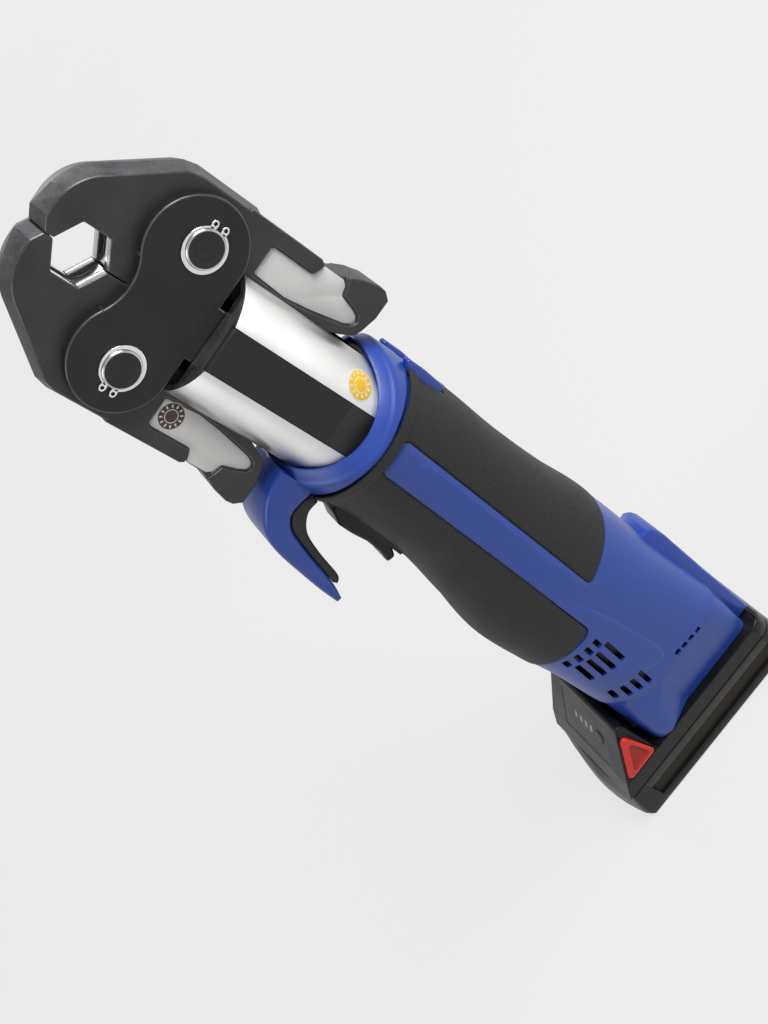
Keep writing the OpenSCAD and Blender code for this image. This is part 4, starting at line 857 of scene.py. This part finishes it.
edge = []
for q in np.linspace(palm(FOOT), CHART.at_y(-RAIL_Y - 0.6, FOOT), 90):
    in_by = foot_height(np.array([[q, FOOT]]), np.array([CHART.flat(q, FOOT)[0]]))[0] - 0.5
    edge.append(tuple(CHART.point(q, FOOT, in_by)[:2]))
edge += [(edge[-1][0] + 1, -RAIL_Y), (24.4, -RAIL_Y)]
plate = edge[::-1] + [(x, -y) for x, y in edge[1:]]
prism("foot_plate", plate, 38.75, 40.2, 0.15, [BLUE], "housing", steps=2,
      place=lambda v: Vector((v.x, v.z, v.y)))

RAIL_WALL = 1.5
channel = [(-RAIL_Y - RAIL_WALL, 40), (-RAIL_Y, 40), (-RAIL_Y, RAIL_TOP), (RAIL_Y, RAIL_TOP), (RAIL_Y, 40),
           (RAIL_Y + RAIL_WALL, 40), (RAIL_Y + RAIL_WALL, RAIL_TOP + RAIL_WALL),
           (-RAIL_Y - RAIL_WALL, RAIL_TOP + RAIL_WALL)]
prism("rail_channel", channel, -51, 25.4, 0.12, [BLACK], "housing", steps=2,
      place=lambda v: Vector((v.y, v.x, v.z)))

# ------------------------ jaws, links and head
PIN_X, PIN_Z, PROFILE_Z, LABEL_Y = 28.9, 434, 472.3, -9.05
HALVES = (("upper", 1), ("lower", -1))


def jaw_face(n, c):
    """Polished in the press profile, plain on the flat sides and the tails, forged on the rest, with a painted
    highlight.
    """
    if math.hypot(c.x, c.z - PROFILE_Z) < 15.5 and abs(n.y) < 0.5:
        return 3
    return 0 if abs(n.y) > 0.9 or c.z < 410 else 2


for name, s in HALVES:
    fine("jaw_" + name, "jaw_%s_half" % name, [OXIDE, OXIDE_EDGE, FORGED_AND_LIT, POLISHED], 0.5, kind=jaw_face)
for n in ("link_plate_near", "link_plate_far"):
    fine(n, "head", [LINK, OXIDE_EDGE], 0.7, steps=3)
pin = [(0.9, 18.2), (1.7, 18.6), (4.4, 18.65), (4.7, 18.5), (5.0, 18.65), (7.7, 18.65), (8.15, 18.5), (8.5, 18.1),
       (8.5, 17.8), (7.9, 17.75), (7.9, 16.55), (8.5, 16.5)]
pin_ends = [0] * 5 + [1] * 6
for name, s in HALVES:
    n = "jaw_pin_" + name
    turned(n + "_turned", [(r, -y) for r, y in pin] + pin[::-1], (s * PIN_X, PIN_Z), [DARK_STEEL, GROUND], "head", (n,),
           pin_ends + [1] + pin_ends[::-1])
ring_angles = np.radians(np.linspace(14, 346, 70))
clip = ([(9.95 * math.cos(a) - 0.5, 9.95 * math.sin(a)) for a in ring_angles]
        + [(8.55 * math.cos(a), 8.55 * math.sin(a)) for a in ring_angles[::-1]])
for name, s in HALVES:
    def clip_place(v):
        return Vector((s * (v.x + PIN_X), v.y, v.z + PIN_Z))

    for end, low, high in (("near", -17.7, -16.5), ("far", 16.5, 17.7)):
        prism("circlip_%s_%s" % (name, end), clip, low, high, 0.15, [SPRING], "head",
              ("circlips",) if (name, end) == ("upper", "near") else (), ribbon=True, place=clip_place)
        for tip, z in (("a", 2.7), ("b", -2.7)):
            ear = rounded([(8.0, z - 1.3, 0.3), (10.2, z - 1.7, 1.2), (11.9, z - 0.9, 1.0), (11.9, z + 0.9, 1.0),
                           (10.2, z + 1.7, 1.2), (8.0, z + 1.3, 0.3)], 4)
            prism("circlip_%s_%s_ear_%s" % (name, end, tip), ear, low, high, 0.15, [SPRING], "head", (),
                  holes=[circle(0.85, 16, (10.3, z))], place=clip_place)

HEAD_R, BORE, HEAD_LOW, SLOT_FLOOR, HEAD_TOP = 30.9, 27.75, 311.4, 334.4, 409.6
CHEEK, LIP, SEAT, SEAT_HALF = 16.75, 11.2, 26.4, 10.6


def arc(r, start, end, step=3.0):
    n = max(1, round(abs(end - start) / step))
    angles = [math.radians(start + (end - start) * i / n) for i in range(n + 1)]
    return [(r * math.cos(a), r * math.sin(a)) for a in angles]


def turned_face(n, c):
    """Bright outside, oiled inside, ground on the end faces."""
    r = math.hypot(c.x, c.y)
    if n.z > 0.7 and c.z > 380:
        return 1
    return 0 if (n.x * c.x + n.y * c.y) / max(r, 1e-6) > 0.5 and r > 29 else 2


notch = math.degrees(math.acos(SEAT_HALF / HEAD_R))
lip, lip_in, room = (math.degrees(math.asin(y / r)) for y, r in ((LIP, HEAD_R), (LIP, BORE), (CHEEK, BORE)))
cheek = (arc(HEAD_R, lip - 180, -180 + notch) + [(-SEAT_HALF, -SEAT), (SEAT_HALF, -SEAT)] + arc(HEAD_R, -notch, -lip)
         + arc(BORE, -lip_in, -room) + arc(BORE, room - 180, lip_in - 180))
wall = arc(HEAD_R, -lip, lip) + arc(BORE, lip_in, -lip_in)
STEEL = [BRIGHT, GROUND, DARK_STEEL]
for end, side in SIDES:
    prism("head_cheek_" + end, cheek, HEAD_LOW, HEAD_TOP, 0.35, STEEL, "head", ("fork_head",) if side < 0 else (),
          steps=2, place=lambda v: Vector((v.x, -side * v.z, v.y)), paint=turned_face)
for end, side in (("palm", 1), ("finger", -1)):
    prism("head_wall_" + end, wall, HEAD_LOW, SLOT_FLOOR, 0.2, STEEL, "head", (), steps=2,
          place=lambda v: Vector((side * v.x, v.z, v.y)), paint=turned_face)
fine("cover_strip", "head", [MATT, MATT], 0.5)
fine("bolt_knob", "bolt", [BLACK, BLACK], 0.8)
fine("trigger", "trigger_lever", [BLACK, BLACK], 1.3)
fine("reset_button", "reset", [GLOSS, GLOSS], 1.4)
prism("strip_panel", [(-10.2, 331.2), (10.2, 331.2), (10.2, 340.6), (-10.2, 340.6)], -29.0, -28.6, 0.04, [REAR], "head",
      steps=2, place=lambda v: Vector((v.x, v.y - 0.13, v.z)))

# ------------------------ battery
half_plan = [(-101, 0), (-100.8, -6.3), (-99.9, -15.7), (-98.4, -24), (-96.5, -31.1), (-95.3, -35), (-94.5, -37),
             *((x, -38.2) for x in (-92.8, -79.3, -79.2, -60, -30, 0, 24.9, 25)), (28, -37.9), (30.6, -37),
             (32.7, -35.4), (34.3, -32.9), (35, -29.2), (35, 0)]
plan = half_plan + [(x, -y) for x, y in half_plan[-2:0:-1]]
sunk = [-79.25 < x < 24.95 for x, y in plan]
BAND_LOW, BAND_HIGH, BAND_DEPTH = 7.8, 19.8, 1.7
# inset, height, and 1 in the sunk band
levels = [(2.6, 0, 0), (1.0, 0.35, 0), (0.25, 1.4, 0), (0, 3, 0), (0, BAND_LOW - 0.5, 0), (0.25, BAND_LOW, 0),
          (BAND_DEPTH, BAND_LOW + 0.2, 1), (BAND_DEPTH, BAND_HIGH - 0.2, 1), (0.25, BAND_HIGH, 0),
          (0, BAND_HIGH + 0.5, 0), (0, 26.3, 0), (0.3, 26.8, 0), (0.7, 27, 0)]
verts, faces = [], []
for d, z, deep in levels:
    moved = inset(plan, [d if s or (not deep and not 7 < z < 21) else 0.0 for s in sunk])
    lean = max(0, z - 13) / 14 * 9 + max(0, 6 - z) / 6 * 4
    verts += [(q.x + lean * min(max((-88 - q.x) / 13, 0), 1), q.y, z) for q in moved]
n = len(plan)
for s in range(0, len(verts) - n, n):
    faces += [(s + i, s + (i + 1) % n, s + n + (i + 1) % n, s + n + i) for i in range(n)]
faces += [list(range(n)), list(range(len(verts) - n, len(verts)))]


# picks the faces that carry painted reflections: the sunk side band and the ledge above it
def case_face(n, c):
    if abs(n.z) > 0.6 or not -79.3 < c.x < 25:
        return 0
    return 1 if BAND_LOW < c.z < BAND_HIGH else 2 if BAND_HIGH < c.z < 26.4 else 0


piece("battery_base", verts, faces, [BLACK, BAND_PAINTED_REFLECTION, LEDGE_PAINTED_REFLECTION], "battery", ("battery_case",), 30,
      paint=case_face)
LATCH = [(-62.8, 66.5), (-57.9, 38.85), (-83, 38.4)]
around_latch = inset(LATCH, -1.2)


def lid_opening(m):
    """The rims of the latch and gauge openings."""
    return inside(np.array([[m.x, m.z]]), around_latch)[0] if abs(m.y) > 22.6 else m.x < -60 and 38.8 < m.z < 64.4


fine("battery_lid", "battery", [BLACK, BLACK], 0.9, leave=lid_opening)


def latch_shape(d):
    """The key's outline moved in by d, and further in along its front, where the rim is broad."""
    top, back, front = inset(LATCH, 0.15 + d)
    more = 2.0 * min(max(d - 1, 0), 1)
    corners = top + (back - top).normalized() * more / 0.716, back, front + (back - front).normalized() * more / 0.8
    return rounded([(*q, max(2.3 - 0.35 * d, 0.9)) for q in corners], 6)


for end, side in SIDES:
    # the sunk dish of each key takes the darker red as painted shade
    prism("latch_%s_key" % end, latch_shape(0), -38.5, -33.4, 0.9, [RED, RED_PAINTED_SHADE], end + "_latch", ("latch_" + end,),
          dish=(1.6, 1.2, 1.3), shape=latch_shape,
          place=lambda v: Vector((v.x, -side * (v.y + 4.2 * (v.z - 38) / 34), v.z)))
fine("gauge_panel", "battery", [GREY, GREY], 0.3)
fine("gauge_button", "gauge_key", [GREY, GREY], 0.5)
ALONG, OUT = Vector((0.590, 0, 0.807)), Vector((-0.807, 0, 0.590))
panel_off = max((v.co / MM).dot(OUT) for v in NODE["gauge_panel"].data.vertices)
PANEL_FOOT, PANEL_LENGTH, BARS_AT = Vector((-84.9, 0, 38)), 37.8, 0.52
base = PANEL_FOOT + ALONG * (PANEL_LENGTH * BARS_AT)
base += OUT * (panel_off - base.dot(OUT))
bar = rounded([(-1.1, -2.5, 0.4), (1.1, -2.5, 0.4), (1.1, 2.5, 0.4), (-1.1, 2.5, 0.4)], 3)
for i, y in enumerate((-6, -1, 4, 9)):
    prism("gauge_bar_%d" % (i + 1), bar, -0.2, 0.12, 0.05, [MARKS], "battery", steps=2,
          place=lambda v: base + Vector((0, y + v.x, 0)) + ALONG * v.z + OUT * v.y)

# ------------------------ finishes of the CAD nodes that stay
for names, finish in (
        (("retaining_bolt", "spindle", "roller_upper", "roller_lower", "roller_pins", "motor_shaft", "housing_screws",
          "trigger_pin", "spring_post"), GROUND), (("jaw_spring", "head_ring", "thrust_bearing"), SPRING),
        (("roller_carriage",), DARK_STEEL), (("spindle_nut",), BRONZE), (("gearbox_casing",), ALLOY),
        (("motor_can",), MOTOR), (("cooling_fan", "switch_module", "terminal_block"), BLACK),
        (("control_board",), BOARD), (("battery_cells",), WRAP), (("battery_terminals",), BRASS)):
    for n in names:
        data = NODE[n].data
        data.materials.clear()
        data.materials.append(finish)
        data.shade_smooth()
        data.set_sharp_from_angle(angle=math.radians(30))

# ------------------------ labels
TAIL_WIDTH, TAIL_LENGTH = 51.2, 90
POCKET = [(0.886, 0.575), (0.886, 0.33), (0.86, 0.31), (0.6, 0.31), (0.578, 0.52), (0.61, 0.665), (0.676, 0.868),
          (0.71, 0.91), (0.76, 0.928), (0.81, 0.91), (0.846, 0.86), (0.88, 0.78), (0.96, 0.765), (1, 0.735), (1, 0.6)]
for name, s in HALVES:
    outline = rounded([(s * x * TAIL_WIDTH, PIN_Z - z * TAIL_LENGTH, 1.6) for x, z in POCKET], 3)
    prism("jaw_label_" + name, inset(outline, 0.7), LABEL_Y, -8.7, 0.08, [LABEL], "jaw_%s_half" % name, steps=2)


def dial(name, radius, place, mats, body, low):
    """A round date dial: rim, ring, centre and twelve plain marks; place maps (u, height, v) to the part."""
    print_, mark = mats
    for part, outer, inner, finish in (("rim", 1, 0.93, mark), ("ring", 0.93, 0.5, print_), ("spoke", 0.5, 0.44, mark),
                                       ("hub", 0.44, 0, print_)):
        prism(name + "_" + part, circle(radius * outer), low, low + 0.1, 0.01, [finish], body, steps=2, place=place,
              holes=[circle(radius * inner)] if inner else ())
    for i in range(12):
        a = 2 * math.pi * i / 12
        corners = [(r * radius * math.cos(a + t), r * radius * math.sin(a + t)) for r, t in
                   ((0.62, -0.1), (0.84, -0.07), (0.84, 0.07), (0.62, 0.1))]
        prism("%s_mark_%d" % (name, i + 1), corners, low + 0.08, low + 0.16, 0.01, [mark], body, steps=2, place=place)


def on_label(v):
    return Vector((v.x - 36.9, LABEL_Y - v.y, v.z + 398.4))


def on_barrel(v):
    a, r = math.radians(-52.9) + v.x / 30.95, 30.93 + v.y
    return Vector((r * math.cos(a), r * math.sin(a), 340.4 + v.z))


dial("date_dial", 6.4, on_label, (BROWN, WHITE), "jaw_lower_half", -0.02)
dial("test_dial", 7.2, on_barrel, (YELLOW, WHITE), "head", 0.0)
